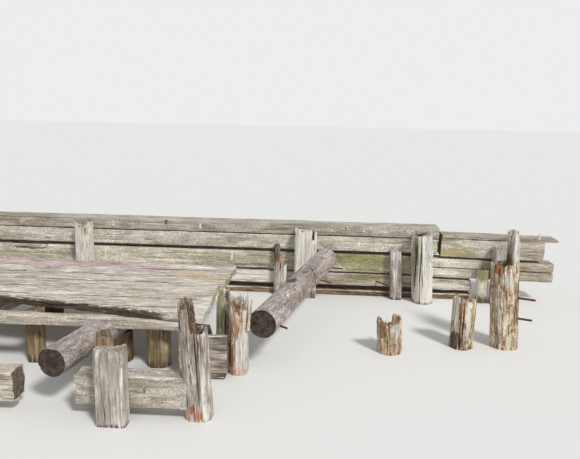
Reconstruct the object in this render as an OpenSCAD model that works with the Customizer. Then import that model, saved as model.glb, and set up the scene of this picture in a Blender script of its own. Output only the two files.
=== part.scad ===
// Derelict wooden jetty: a wall of stacked squared timbers behind a row of posts, the rest of a plank
// deck on round bearer logs, and rows of broken piles in front of the wall.
// X runs along the wall, Y points to the back of the wall, Z is up, and z = 0 is the level foot of all
// piles and posts. The origin is the centre of the foot of the middle wall post.
// Distances d are measured from the wall's front face towards the front.

/* [Bays] */
// Length of one bay, from wall post to wall post
bay = 1500; // [1400:10:1600]
// Length of the wall past its last left post
wall_over = 200; // [150:10:300]

/* [Wall timbers] */
// Depth of the stacked beams
beam_t = 260; // [200:10:300]
// Depth of the cap timber
cap_t = 310; // [280:10:360]
// Height of the foot beam
foot_h = 75; // [50:5:100]
// Open slot between the foot beam and the lower beam
foot_gap = 60; // [40:5:80]
// Height of the lower beam
lower_h = 175; // [150:5:200]
// Height of the middle beam
middle_h = 255; // [220:5:280]
// Height of the upper beam
upper_h = 200; // [180:5:220]
// Height of the cap timber
cap_h = 142; // [120:2:160]
// Narrow joint between two courses that lie close
joint = 8; // [4:1:14]
// Wide open joint under the upper beam
open_joint = 38; // [25:1:50]
// Place of the right end of the cap timber
left_end_x = 1750; // [1700:5:1765]
// How far weather has worn the edges of the timbers
timber_wear = 9; // [4:1:14]
// How far the broken timber ends are ragged
ragged = 34; // [15:1:60]

/* [Right section] */
// Gap between the two wall sections
section_gap = 30; // [20:5:60]
// Slope of the sunken right section
sag = 1; // [0.5:0.1:2.5]
// Length of the right upper beam
right_upper_l = 1340; // [1300:5:1400]
// Height of the right upper beam
right_upper_h = 252; // [230:2:260]
// Thickness of the right cap plank
right_cap_h = 38; // [30:1:60]
// How far the right cap plank stands out past the upper beam
right_cap_over = 155; // [140:5:200]
// Height of the right middle plank
right_middle_h = 120; // [100:2:130]
// How far the right middle plank stands out past the upper beam
right_middle_over = 140; // [80:5:150]
// Height of the right lower plank
right_lower_h = 130; // [110:2:140]
// Height of the right bottom beam
right_bottom_h = 150; // [140:5:160]
// Length of the right bottom beam
right_bottom_l = 671; // [620:1:720]
// Height of the right bottom beam's underside
right_bottom_z = 120; // [105:5:150]
// Open joint over the right bottom beam
right_bottom_joint = 24; // [15:1:30]
// Joint between the two right planks
right_plank_joint = 8; // [4:1:10]
// Open joint under the right upper beam
right_upper_joint = 30; // [25:1:40]

/* [Wall posts] */
// Width of the squared middle post
post_w = 290; // [240:5:320]
// Depth of the middle and right wall posts
post_d = 200; // [160:5:240]
// Height of the tall wall posts
post_h = 930; // [880:5:960]
// Width of the slot down the middle post
slot_w = 25; // [15:1:35]
// Distance from the middle post's right side to the slot's far side
slot_in = 60; // [50:1:75]
// Depth of the slot down the middle post
slot_h = 150; // [120:5:200]
// Width of the split posts further left
split_post_w = 220; // [200:5:250]
// Depth of the split posts
split_post_d = 180; // [150:5:200]
// Width of the rotted post stub
stub_w = 240; // [220:5:260]
// Depth of the rotted post stub
stub_d = 220; // [200:5:240]
// Height of the rotted post stub
stub_h = 380; // [340:5:400]
// Place of the corner pile
corner_x = 1555; // [1530:5:1570]
// Width of the corner pile
corner_w = 270; // [240:5:290]
// Depth of the corner pile
corner_d = 360; // [300:5:400]
// Height of the corner pile
corner_h = 940; // [900:5:960]
// How deep the corner pile is hewn flat for the wall
corner_hew = 70; // [50:5:90]
// Lean of the round piles and stubs
pile_lean = 3; // [2:0.5:4]
// How much lower one side of a pile's head is than the other
head_step = 40; // [20:5:60]
// Distance of the right wall post from the right section's start
right_post_step = 785; // [760:5:820]
// Width of the right wall post
right_post_w = 250; // [220:5:280]
// Height of the right wall post
right_post_h = 790; // [740:5:800]

/* [Stakes at the wall] */
// Place of the thin double stake
thin_x = -420; // [-440:5:-400]
// Width of its tall thin half
thin_w = 80; // [60:5:90]
// Height of its tall thin half
thin_h = 700; // [660:5:740]
// Width of its short thick half
thick_w = 135; // [120:5:150]
// Height of its short thick half
thick_h = 500; // [460:5:540]
// Depth of its thick half
thick_d = 110; // [90:5:130]
// Space between the leaning stake's axis and the corner pile's
lean_step = 340; // [320:5:360]
// Width of the leaning stake
lean_w = 155; // [140:5:165]
// Depth of the leaning stake
lean_d = 130; // [110:5:150]
// Height of the leaning stake
lean_h = 690; // [660:5:720]
// Lean of the leaning stake
stake_lean = 2.5; // [1.5:0.5:4]
// Space between the mossy stake's axis and the right wall post's
mossy_step = 230; // [215:5:245]
// Width of the mossy stake
mossy_stake_w = 160; // [140:5:170]
// Height of the mossy stake
mossy_stake_h = 450; // [420:5:480]

/* [Deck] */
// Width of one deck plank
plank_w = 262; // [240:2:264]
// Open joint between deck planks
plank_gap = 6; // [4:1:10]
// Thickness of the deck planks
plank_t = 70; // [50:5:90]
// Height of the deck's top
deck_z = 600; // [580:5:620]
// Space between the torn pile's axis and the deck's right end
deck_end_step = 285; // [270:5:300]
// Distance from the wall to the deck's far edge
deck_far = 890; // [850:5:920]
// Slant at which the deck's front edge has rotted away
rot_slant = 10.5; // [8:0.5:12]
// Deepest that the deck's front edge has rotted away
rot_depth = 380; // [340:5:400]
// Depth of the front beam
front_beam_t = 140; // [110:5:160]
// Height of the front beam
front_beam_h = 100; // [80:5:120]
// How far the front beam stands back from the planks' ends
front_beam_in = 60; // [40:5:80]
// Space between the first outer post's axis and the near deck pile's
deck_pile_step = 50; // [30:5:70]
// Space between the second wall post's axis and the thin deck pile's
thin_pile_step = 480; // [450:5:510]
// Width of the near deck pile
deck_pile_w = 230; // [200:5:250]
// Width of the thin deck pile
thin_pile_w = 170; // [150:5:190]
// Width of the far deck pile
far_pile_w = 200; // [180:5:220]

/* [Logs] */
// Radius of the bearer logs at the front end
log_r = 130; // [115:1:140]
// How much thinner a log is at its far end
log_taper = 8; // [0:1:10]
// Depth of the flats hewn on a log
hew = 15; // [13:1:20]
// Skew of the bearer logs under the deck
skew = 11; // [9:0.5:12]
// How far the bearer logs stand out in front of the deck
bearer_over = 180; // [140:10:200]
// How far the first bearer log runs on past the outer beam's back
first_bearer_over = 110; // [80:5:140]
// How far the bearer logs end in from the deck's far edge
bearer_end_in = 40; // [20:5:60]
// Width of the bearer piles
bearer_pile_w = 220; // [200:5:240]
// Space between the front beam and the axis of the front bearer piles
bearer_pile_step = 180; // [160:5:200]
// Space between a bearer log's far end and the axis of its back pile
bearer_back_step = 200; // [170:5:230]
// Radius of the loose log at its front end
loose_r = 143; // [135:1:150]
// Height of the loose log's front end
loose_near_z = 475; // [465:5:500]
// Height of the loose log's end at the wall
loose_far_z = 520; // [510:5:560]
// Distance of the loose log's front end from the wall
loose_near_d = 2530; // [2500:5:2560]
// Space between the loose log's other end and the wall
loose_far_d = 50; // [45:5:70]

/* [Front piles] */
// Place of the torn pile that carries the loose log
torn_x = -525; // [-535:1:-515]
// Width of the torn pile
torn_w = 175; // [170:1:185]
// Depth of the torn pile
torn_d = 240; // [220:5:260]
// Height of the torn pile
torn_h = 780; // [740:5:800]
// Length of the block beside the torn pile
block_l = 440; // [400:5:460]
// Depth of the block beside the torn pile
block_t = 310; // [300:5:320]
// Height of the block's lower timber
block_foot_h = 60; // [50:5:80]
// How deep the block is let into the torn pile
block_tenon = 12; // [8:1:16]
// How far the block's lower timber stands back
block_back = 10; // [5:1:15]
// Space between the mossy pile's axis and the torn pile's
mossy_pile_step = 170; // [168:1:180]
// Width of the mossy pile
mossy_pile_w = 160; // [140:5:165]
// Height of the mossy pile
mossy_pile_h = 785; // [750:5:800]
// How deep the mossy pile is hewn flat for the block
mossy_hew = 25; // [15:1:35]
// Place of the tall rotten pile
tall_x = 2205; // [2180:5:2230]
// Distance of the tall rotten pile's front from the wall
tall_front_d = 1750; // [1700:10:1800]
// Width of the tall rotten pile
tall_w = 295; // [280:5:320]
// Depth of the tall rotten pile
tall_d = 280; // [260:5:300]
// Height of the tall rotten pile
tall_h = 1285; // [1250:5:1350]
// Height of its rotted left half
tall_low_h = 930; // [900:5:1000]
// Lean of the tall rotten pile
tall_lean = 4; // [3:0.5:6]
// Space between the tall pile's axis and the split stub's
split_step = 470; // [450:2:490]
// Width of the split stub
split_w = 250; // [230:5:270]
// Depth of the split stub
split_d = 260; // [240:5:280]
// Height of the split stub
split_h = 575; // [540:5:600]
// Lean of the split stub
split_lean = 1; // [0:0.5:2]
// How much further out the split stub's front stands than the tall pile's
split_front = 50; // [30:5:70]
// Place of the low stub
low_x = 956; // [920:2:980]
// Distance of the low stub's front from the wall
low_front_d = 2020; // [1980:10:2060]
// Width of the low stub
low_w = 260; // [240:5:280]
// Depth of the low stub
low_d = 240; // [220:5:260]
// Height of the low stub
low_h = 380; // [350:5:400]

/* [Outer row] */
// Distance from the wall to the back of the outer beam
outer_d = 3330; // [3300:5:3360]
// Depth of the outer beam
outer_t = 200; // [180:5:220]
// Height of the outer beam's underside
outer_z = 90; // [70:5:110]
// Height of the outer beam
outer_h = 265; // [250:5:290]
// How far the right outer beam is housed in the end pile
outer_housing = 30; // [25:1:40]
// Length of the right outer beam past the first outer post
outer_right_over = 345; // [320:5:360]
// Gap between the two outer beams, where the first bearer log comes through
outer_gap = 470; // [440:5:500]
// Length of the left outer beam
outer_left_l = 2880; // [2800:10:2900]
// Place of the first outer post
outer_post_x = -1365; // [-1380:5:-1350]
// Width of the squared outer posts
outer_post_w = 242; // [230:2:260]
// Depth of the squared outer posts
outer_post_d = 140; // [120:5:160]
// Height of the squared outer posts
outer_post_h = 645; // [620:5:680]
// Space between the first outer post's axis and that of the post behind the beam
back_post_step = 181; // [170:1:195]
// Width of the post behind the outer beam
back_post_w = 135; // [120:5:150]
// Depth of the post behind the outer beam
back_post_d = 150; // [130:5:170]
// Height of the post behind the outer beam
back_post_h = 630; // [600:5:680]
// Place of the outer end pile
end_pile_x = -715; // [-730:1:-700]
// Width of the outer end pile
end_pile_w = 218; // [210:1:230]
// Depth of the outer end pile
end_pile_d = 240; // [220:5:260]
// Lean of the outer end pile
end_pile_lean = 3.5; // [2:0.5:4]
// Height of the outer end pile
end_pile_h = 1020; // [980:5:1050]
// Height of its rotted right half
end_pile_low_h = 740; // [700:5:780]

/* [Hidden] */

left_bays = 3;
planks = 7;
reach = 4000;
round_fn = 64;
run_in = 100;
face_y = post_d / 2;
clear = 4;
before_post = face_y - 1.5 * post_d;

wall_x0 = -left_bays * bay - wall_over;
lower_z = foot_h + foot_gap;
middle_z = lower_z + lower_h + joint;
upper_z = middle_z + middle_h + open_joint;
cap_z = upper_z + upper_h + joint;

right_start_x = left_end_x + section_gap;
right_upper_end_x = right_start_x + right_upper_l;
right_cap_end_x = right_upper_end_x + right_cap_over;
right_plank_end_x = right_upper_end_x + right_middle_over;
right_post_x = right_start_x + right_post_step;
right_lower_z = right_bottom_z + right_bottom_h + right_bottom_joint;
right_middle_z = right_lower_z + right_lower_h + right_plank_joint;
right_upper_z = right_middle_z + right_middle_h + right_upper_joint;
right_cap_z = right_upper_z + right_upper_h;

plank_z = deck_z - plank_t;
plank_step = plank_w + plank_gap;
deck_near = deck_far + planks * plank_step - plank_gap;
deck_end_x = torn_x - deck_end_step;
plank_end_offsets = [40, 25, 15, -25, -15, 5, 0];
rot_start_x = deck_end_x - 90;
front_beam_d = deck_near - front_beam_in - front_beam_t;
front_beam_end_x = deck_end_x - 80;

bearer_z = plank_z - log_r + hew;
bearer_seat_z = bearer_z - log_r + hew;
bearer_pile_d = front_beam_d - bearer_pile_step;
bearer_far_d = deck_far + bearer_end_in;
bearer_back_d = bearer_far_d + bearer_back_step;
seat_half = 0.68 * bearer_pile_w;
torn_front_d = loose_near_d + torn_d / 2;
block_end_x = torn_x - torn_w / 2;
block_h = plank_z - front_beam_h - block_foot_h;
outer_front_d = outer_d + outer_t;

// Repeatable number between 0 and 1 for place i of a piece
function noise(i, seed) = let (v = 437.585 * sin(127.1 * i + 311.7 * seed)) v - floor(v);

// Y of a point at distance d in front of the wall face
function front(d) = face_y - d;

// Everything above a plane through height h, sloped by the two angles
module above(h, tilt_x, tilt_y)
    translate([0, 0, h]) rotate([tilt_x, tilt_y, 0]) translate([-reach / 2, -reach / 2, 0]) cube(reach);

// Everything under the level foot
module below_foot()
    translate([-reach / 2, -reach / 2, -reach]) cube(reach);

// Everything behind the plane y
module behind(x, y)
    translate([x - reach / 2, y, -reach / 2]) cube(reach);

// Everything in front of the plane y
module before(x, y)
    translate([x - reach / 2, y - reach, -reach / 2]) cube(reach);

// Side view of a timber l long and h high: low and high are the wear of its two edges, rag0 and rag1
// how ragged its two ends are
function timber_outline(l, h, low, high, rag0, rag1, seed) =
    let (n = ceil(l / 430), m = 4)
    concat(
        [for (i = low > 0 ? [0:n] : [0, n]) [l * i / n, low * noise(i, seed)]],
        [for (j = [1:m]) [l - rag1 * noise(j, seed + 3), h * j / (m + 1)]],
        [for (i = high > 0 ? [n:-1:0] : [n, 0])
            [l * i / n - (i == n ? rag1 / 2 : 0), h - high * noise(i, seed + 7)]],
        [for (j = [m:-1:1]) [rag0 * noise(j, seed + 5), h * j / (m + 1)]]
    );

// Cross-section of a timber t deep and h high with worn corners
function timber_section(t, h, c) = [
    [c, 0], [t - 0.6 * c, 0], [t, 0.6 * c], [t, h - c],
    [t - 0.8 * c, h], [1.2 * c, h], [0, h - 0.9 * c], [0, c]
];

// Worn squared timber along X, with its front at y = 0 and its underside at z = 0
module timber(l, h, t, low, high, rag0, rag1, seed)
    intersection() {
        translate([0, t, 0])
            rotate([90, 0, 0])
                linear_extrude(t) polygon(timber_outline(l, h, low, high, rag0, rag1, seed));
        rotate([90, 0, 90])
            linear_extrude(l) polygon(timber_section(t, h, 1.3 * timber_wear));
    }

// Side view of a post w wide and h high, with worn edges and its top split into teeth; tooth number
// peak reaches the full height
function post_outline(w, h, wear, teeth, tooth, peak, seed) =
    let (n = ceil(h / 260), last = 2 * teeth)
    concat(
        [[-w / 2, 0], [w / 2, 0]],
        [for (i = [1:n]) [w / 2 - wear * noise(i, seed), (h - tooth) * i / n]],
        [for (j = [0:last])
            let (
                tip = j == 2 * peak ? 0 : 0.1 + 0.6 * noise(j, seed + 2),
                drop = j % 2 == 0 ? tip : 0.7 + 0.3 * noise(j, seed + 4)
            )
            [(w / 2 - wear) * (1 - 2 * j / last), h - tooth * drop]],
        [for (i = [n:-1:1]) [-w / 2 + wear * noise(i, seed + 9), (h - tooth) * i / n]]
    );

// Plan of a squared post, w by deep, with worn corners
function post_plan(w, deep, c) = [
    [c - w / 2, 0], [w / 2 - 0.7 * c, 0], [w / 2, c], [w / 2, deep - 0.6 * c], [w / 2 - 0.6 * c, deep],
    [0.8 * c - w / 2, deep], [-w / 2, deep - 0.8 * c], [-w / 2, 0.8 * c]
];

// Weathered squared post on z = 0, with its front at y = 0 and its split head seen from two sides
module post(w, deep, h, wear, teeth, tooth, peak, seed)
    intersection() {
        linear_extrude(h) polygon(post_plan(w, deep, 1.6 * wear));
        translate([0, deep, 0])
            rotate([90, 0, 0])
                linear_extrude(deep) polygon(post_outline(w, h, wear, teeth, tooth, peak, seed));
        translate([-w / 2, deep / 2, 0])
            rotate([90, 0, 90])
                linear_extrude(w) polygon(post_outline(deep, h, 0, 2, tooth / 2, 1, seed + 20));
    }

// Closed outline of an old round pile, w by deep, with drying cracks down its side
function pile_outline(w, deep, seed) =
    let (n = 28)
    [for (i = [0:n - 1])
        let (
            a = 360 * i / n,
            crack = i % 7 == floor(7 * noise(floor(i / 7), seed)) ? 0.13 : 0,
            swell = 0.955 + 0.025 * sin(3 * a + 50 * seed) + 0.02 * noise(i, seed) - crack
        )
        [w / 2 * swell * cos(a), deep / 2 * swell * sin(a)]
    ];

// Wedge of a round pile between two angles round its axis; its tip reaches a little over the axis
module stave(a, b, w)
    let (mid = (a + b) / 2)
    translate([0.04 * w, -0.03 * w, 0])
        linear_extrude(reach)
            polygon([-0.08 * w * [cos(mid), sin(mid)], 2 * w * [cos(a), sin(a)], 2 * w * [cos(b), sin(b)]]);

// What is missing over the head of a split pile: each stave has broken off at its own height and slope,
// the ones on the side given by side (1 right, -1 left) near h and the others near low_h
module split_head(w, h, low_h, side, staves, drop, seed)
    for (i = [0:staves - 1])
        let (
            a = 360 * (i + 0.5 * noise(i, seed)) / staves,
            b = 360 * (i + 1 + 0.5 * noise((i + 1) % staves, seed)) / staves,
            top = side * cos((a + b) / 2) > 0.25 ? h : low_h,
            tilt_x = 40 * (noise(i, seed + 2) - 0.5),
            tilt_y = 40 * (noise(i, seed + 4) - 0.5)
        )
        intersection() {
            stave(a, b, w);
            above(top - drop * noise(i + 20, seed), tilt_x, tilt_y);
        }

// Rotten hollow in the head of a pile
module hollow(w, x, h)
    translate([x, 0.04 * w, h - 0.45 * w])
        rotate([5, -6, 0])
            linear_extrude(0.9 * w)
                polygon([for (i = [0:6])
                    let (a = 360 * i / 7) 0.2 * w * (0.75 + 0.35 * noise(i, w)) * [cos(a), sin(a)]]);

// Leaning round pile with its front at distance d from the wall, its head broken into staves and
// hollowed by rot; its foot is cut level
module pile(x, d, w, deep, h, low_h, side, lean, staves, drop, seed)
    translate([x, front(d) + deep / 2, 0])
        difference() {
            rotate([0, lean, 0])
                difference() {
                    translate([0, 0, -run_in])
                        linear_extrude(h + run_in) polygon(pile_outline(w, deep, seed));
                    split_head(w, h, low_h, side, staves, drop, seed);
                    if (drop > 0) hollow(w, -side * min(0.2 * w, 0.4 * (h - low_h)), low_h - drop / 2);
                }
            below_foot();
        }

// Wall timber from x0 to x1, with its underside at z
module wall_timber(x0, x1, z, h, t, high, seed)
    translate([x0, face_y, z]) timber(x1 - x0, h, t, timber_wear, high, 0, ragged, seed);

// Timber of the sunken right section, sloped about the section's upper left corner
module right_timber(x0, x1, z, h, t, low, high, seed)
    translate([right_start_x, 0, 0])
        rotate([0, sag, 0])
            translate([x0 - right_start_x, face_y, z])
                timber(x1 - x0, h, t, low, high, ragged, ragged, seed);

// Post that stands against the wall face
module wall_post(x, w, deep, h, wear, teeth, tooth, peak, seed)
    translate([x, face_y - deep, 0]) post(w, deep, h, wear, teeth, tooth, peak, seed);

module wall_cap() color("#8d8a7c")
    wall_timber(wall_x0, left_end_x, cap_z, cap_h, cap_t, timber_wear, 1);
module wall_upper_beam() color("#87826f")
    wall_timber(wall_x0, left_end_x, upper_z, upper_h, beam_t, timber_wear, 2);
module wall_middle_beam() color("#6f7355")
    wall_timber(wall_x0, corner_x - clear, middle_z, middle_h, beam_t, timber_wear, 3);
module wall_lower_beam() color("#8b8270")
    wall_timber(wall_x0, corner_x - clear, lower_z, lower_h, beam_t, timber_wear, 4);
module wall_foot_beam() color("#5f4a3a")
    let (l = corner_x + clear + right_bottom_l - wall_x0)
    translate([wall_x0, face_y, 0]) timber(l, foot_h, beam_t, 0, 2 * timber_wear, 0, ragged, 68);

module right_upper_beam() color("#85826c")
    right_timber(right_start_x, right_upper_end_x, right_upper_z, right_upper_h, cap_t, timber_wear, 0, 6);
module right_cap_plank() color("#8f8b7a")
    right_timber(right_start_x, right_cap_end_x, right_cap_z, right_cap_h, cap_t,
        0, timber_wear, 7);
module right_middle_plank() color("#8f8874")
    right_timber(corner_x + clear, right_plank_end_x, right_middle_z, right_middle_h, beam_t,
        timber_wear, timber_wear, 8);
module right_lower_plank() color("#8f8874")
    right_timber(corner_x + clear, right_plank_end_x - clear, right_lower_z, right_lower_h, beam_t,
        timber_wear, timber_wear, 9);
module right_bottom_beam() color("#a39a86")
    let (x0 = corner_x + clear)
    right_timber(x0, x0 + right_bottom_l, right_bottom_z, right_bottom_h, beam_t,
        3 * timber_wear, timber_wear, 10);

module wall_post_far_left() color("#a8a294")
    wall_post(-3 * bay, split_post_w, split_post_d, post_h, 8, 3, 110, 1, 11);
module wall_post_left() color("#b3ada0")
    wall_post(-2 * bay, split_post_w, split_post_d, post_h, 8, 4, 130, 3, 12);
module wall_post_stub() color("#6b5f4c")
    wall_post(-bay, stub_w, stub_d, stub_h, 10, 3, 60, 0, 13);
module wall_post_middle() color("#b6b0a2")
    difference() {
        wall_post(0, post_w, post_d, post_h, 6, 3, 45, 2, 14);
        translate([post_w / 2 - slot_in, before_post, post_h - slot_h]) cube([slot_w, 2 * post_d, reach]);
    }
module wall_post_right() color("#7d7460")
    wall_post(right_post_x, right_post_w, post_d, right_post_h, 8, 3, 70, 1, 15);

// Round pile where the two wall sections meet, hewn flat on the wall's face
module corner_pile() color("#8f8a76")
    difference() {
        pile(corner_x, corner_d - corner_hew, corner_w, corner_d, corner_h, corner_h - head_step,
            1, -pile_lean, 9, 50, 16);
        behind(corner_x, face_y);
    }

// Two split halves of one stake, side by side
module thin_stake() color("#8a6d4c")
    union() {
        translate([thin_x + thin_w / 2, face_y - thick_d, 0])
            post(thin_w, thick_d, thin_h, 4, 1, 60, 0, 17);
        translate([thin_x + thin_w / 2 + thick_w / 2, face_y - thick_d, 0])
            post(thick_w, thick_d, thick_h, 7, 2, 120, 1, 18);
    }

module leaning_stake() color("#a39a86")
    translate([corner_x - lean_step, face_y - lean_d, 0])
        difference() {
            rotate([0, -stake_lean, 0])
                translate([0, 0, -run_in]) post(lean_w, lean_d, lean_h + run_in, 9, 2, 70, 1, 19);
            below_foot();
        }

// Stake with a rounded head, hewn flat on the wall's face
module mossy_stake() color("#7b7f4a")
    let (r = mossy_stake_w / 2)
    difference() {
        translate([right_post_x - mossy_step, face_y - 0.8 * r, 0])
            rotate_extrude($fn = round_fn)
                polygon(concat(
                    [[0, 0], [0.86 * r, 0], [0.92 * r, 0.5 * mossy_stake_h]],
                    [for (a = [0:15:90]) [r * cos(a), mossy_stake_h - r + r * sin(a)]]
                ));
        behind(right_post_x, face_y);
    }

// X of a bearer log's axis, k bays from the middle post, at distance d from the wall
function post_half(k) = (k == -1 ? stub_w : split_post_w) / 2;
function bearer_x(k, d) = k * bay + post_half(k) + log_r - hew - tan(skew) * (d - run_in);

// How far the deck's front edge has rotted away at x
function rot(x) = min(rot_depth, max(0, rot_start_x - x) * tan(rot_slant));

// Deck plank i counted from the wall: its far edge is straight, its near edge follows the rot
module deck_plank(i) color("#a49c8a")
    let (
        d = deck_far + i * plank_step,
        x1 = deck_end_x + plank_end_offsets[i],
        full_x0 = bearer_x(-left_bays, d + plank_w / 2) - run_in,
        spent = deck_near - d - 0.15 * plank_w,
        x0 = spent < rot_depth ? max(full_x0, rot_start_x - spent / tan(rot_slant)) : full_x0,
        n = 14,
        near = [for (j = [0:n]) let (x = x0 + (x1 - x0) * j / n)
            [x, front(min(d + plank_w - 8 * noise(j, i), deck_near - rot(x) - 14 * noise(j, i + 9)))]],
        end = [for (j = [1:5]) [x1 - 1.2 * ragged * noise(j, i + 2), front(d + plank_w * (1 - j / 6))]],
        far = [for (j = [n:-1:0]) [x0 + (x1 - x0) * j / n, front(d + 6 * noise(j, i + 4))]]
    )
    translate([0, 0, plank_z]) linear_extrude(plank_t) polygon(concat(near, end, far));
module deck_plank_1() deck_plank(0);
module deck_plank_2() deck_plank(1);
module deck_plank_3() deck_plank(2);
module deck_plank_4() deck_plank(3);
module deck_plank_5() deck_plank(4);
module deck_plank_6() deck_plank(5);
module deck_plank_7() deck_plank(6);

module deck_front_beam() color("#9c957f")
    let (x0 = bearer_x(-left_bays, front_beam_d) - run_in)
    translate([x0, front(front_beam_d + front_beam_t), plank_z - front_beam_h])
        timber(front_beam_end_x - x0, front_beam_h, front_beam_t, 0, 0, 0, ragged, 21);

// Room that the front beam takes in the bearer logs
module front_beam_seat()
    translate([-2 * reach, front(front_beam_d + front_beam_t), plank_z - front_beam_h])
        cube([2 * reach, front_beam_t, front_beam_h + run_in]);

// Half profile of a log l long, thinner at its end and a little uneven
function log_profile(l, r, seed) =
    let (n = 8)
    concat(
        [[0, 0], [r - 12, 0], [r - 2, 14]],
        [for (i = [1:n - 1]) [r - log_taper * i / n - 3 * noise(i, seed), l * i / n]],
        [[r - log_taper, l - 10], [r - log_taper - 8, l], [0, l]]
    );

// Drying cracks that run in from a log's front end
module end_cracks(r, seed)
    for (i = [0:3])
        rotate(90 * i + 60 * noise(i, seed))
            translate([0, 0, -1])
                linear_extrude(70 + 160 * noise(i, seed + 1))
                    polygon([[12, -1], [r + 5, -4], [r + 5, 4], [12, 1]]);

module log(l, r, seed)
    difference() {
        rotate_extrude($fn = round_fn) polygon(log_profile(l, r, seed));
        end_cracks(r, seed);
    }

// Bearer log k bays from the middle post, whose front end is at distance d1 from the wall: hewn flat
// under the planks, on its two piles and round the front beam
module bearer_log(k, d1, seed) color("#857c6c")
    difference() {
        translate([bearer_x(k, d1), front(d1), bearer_z])
            rotate([-90, 0, -skew]) log((d1 - bearer_far_d) / cos(skew), log_r, seed);
        translate([bearer_x(k, bearer_pile_d), 0, 0]) above(plank_z, 0, 0);
        front_beam_seat();
        for (d = [bearer_pile_d, bearer_back_d])
            translate([bearer_x(k, d), front(d), bearer_seat_z - reach])
                rotate([0, 0, -skew])
                    translate([-reach / 2, -seat_half, 0]) cube([reach, 2 * seat_half, reach]);
    }
module bearer_log_1() bearer_log(-1, outer_d + first_bearer_over, 31);
module bearer_log_2() bearer_log(-2, deck_near + bearer_over, 32);
module bearer_log_3() bearer_log(-3, deck_near + bearer_over, 33);

module bearer_pile(k, d, seed) color("#6f6350")
    pile(bearer_x(k, d), d + bearer_pile_w / 2, bearer_pile_w, bearer_pile_w,
        bearer_seat_z, bearer_seat_z, 1, 0, 0, 0, seed);
module bearer_pile_1() bearer_pile(-1, bearer_pile_d, 41);
module bearer_pile_2() bearer_pile(-2, bearer_pile_d, 42);
module bearer_pile_3() bearer_pile(-3, bearer_pile_d, 43);
module bearer_back_pile_1() bearer_pile(-1, bearer_back_d, 44);
module bearer_back_pile_2() bearer_pile(-2, bearer_back_d, 45);
module bearer_back_pile_3() bearer_pile(-3, bearer_back_d, 46);

// Loose bearer log against the right flanks of the torn pile and the middle post
loose_near_x = torn_x + torn_w / 2 + loose_r - hew;
loose_far_x = post_w / 2 + loose_r - hew;
loose_run = loose_near_d - loose_far_d;
loose_skew = atan2(loose_far_x - loose_near_x, loose_run);
loose_rise = atan2(loose_far_z - loose_near_z, loose_run);
module loose_log() color("#8c8478")
    difference() {
        translate([loose_near_x, front(loose_near_d), loose_near_z])
            rotate([loose_rise, 0, -loose_skew])
                rotate([-90, 0, 0]) log(loose_run / cos(loose_skew), loose_r, 34);
        wall_post_middle();
        torn_pile();
    }

module torn_pile() color("#9a5a42")
    difference() {
        translate([torn_x, front(torn_front_d), 0]) post(torn_w, torn_d, torn_h, 3, 4, 150, 1, 22);
        block_seat();
    }

// Room that the side block takes in the torn pile
module block_seat()
    translate([block_end_x - block_l, front(deck_near) - 1, -1])
        cube([block_l + block_tenon, block_t + 1, block_foot_h + block_h + 1]);

// Two timbers on each other under the front beam's end, the upper one let into the torn pile
module side_block() color("#827c70")
    union() {
        translate([block_end_x - block_l, front(deck_near), block_foot_h])
            timber(block_l + block_tenon, block_h, block_t, 0, 0, ragged / 2, 0, 23);
        translate([block_end_x - block_l, front(deck_near) + block_back, 0])
            timber(block_l - block_back, block_foot_h, block_t - 2 * block_back,
                0, 0, ragged / 2, ragged / 2, 24);
    }

// Round pile hewn flat on the back of the side block
module mossy_pile() color("#6d6a3d")
    let (back_d = deck_near - block_t)
    difference() {
        pile(torn_x - mossy_pile_step, back_d + mossy_hew, mossy_pile_w, mossy_pile_w,
            mossy_pile_h, mossy_pile_h - head_step, 1, 0, 7, 40, 25);
        before(torn_x, front(back_d));
    }

module tall_rotten_pile() color("#8e5b44")
    pile(tall_x, tall_front_d, tall_w, tall_d, tall_h, tall_low_h, 1, -tall_lean, 13, 110, 26);
module split_stub() color("#85604f")
    pile(tall_x - split_step, tall_front_d + split_front, split_w, split_d, split_h, split_h - head_step,
        1, split_lean, 9, 90, 27);
module low_stub() color("#8a6552")
    pile(low_x, low_front_d, low_w, low_d, low_h, low_h - head_step, -1, -pile_lean, 8, 80, 28);

// Pile behind the front beam, hewn flat where the beam is bolted to it
module deck_pile(x, w, seed) color("#8a6d4a")
    difference() {
        pile(x, front_beam_d + 15, w, w, plank_z, plank_z, 1, 0, 0, 0, seed);
        before(x, front(front_beam_d));
    }
deck_pile_x = outer_post_x + deck_pile_step;
thin_pile_x = -2 * bay + thin_pile_step;
module deck_pile_1() deck_pile(deck_pile_x, deck_pile_w, 51);
module deck_pile_2() deck_pile(thin_pile_x, thin_pile_w, 52);
module deck_pile_3() deck_pile(thin_pile_x - bay, far_pile_w, 53);

// Outer beams, one on each side of the gap for the first bearer log
outer_right_x0 = outer_post_x - outer_right_over;
outer_right_x1 = end_pile_x - end_pile_w / 2 + outer_housing;
outer_left_x1 = outer_right_x0 - outer_gap;
module outer_beam_right() color("#9a9384")
    translate([outer_right_x0, front(outer_front_d), outer_z])
        timber(outer_right_x1 - outer_right_x0, outer_h, outer_t, timber_wear, timber_wear, ragged, 0, 61);
module outer_beam_left() color("#a08f6f")
    translate([outer_left_x1 - outer_left_l, front(outer_front_d), outer_z])
        timber(outer_left_l, outer_h, outer_t, timber_wear, timber_wear, 0, ragged, 62);

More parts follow.
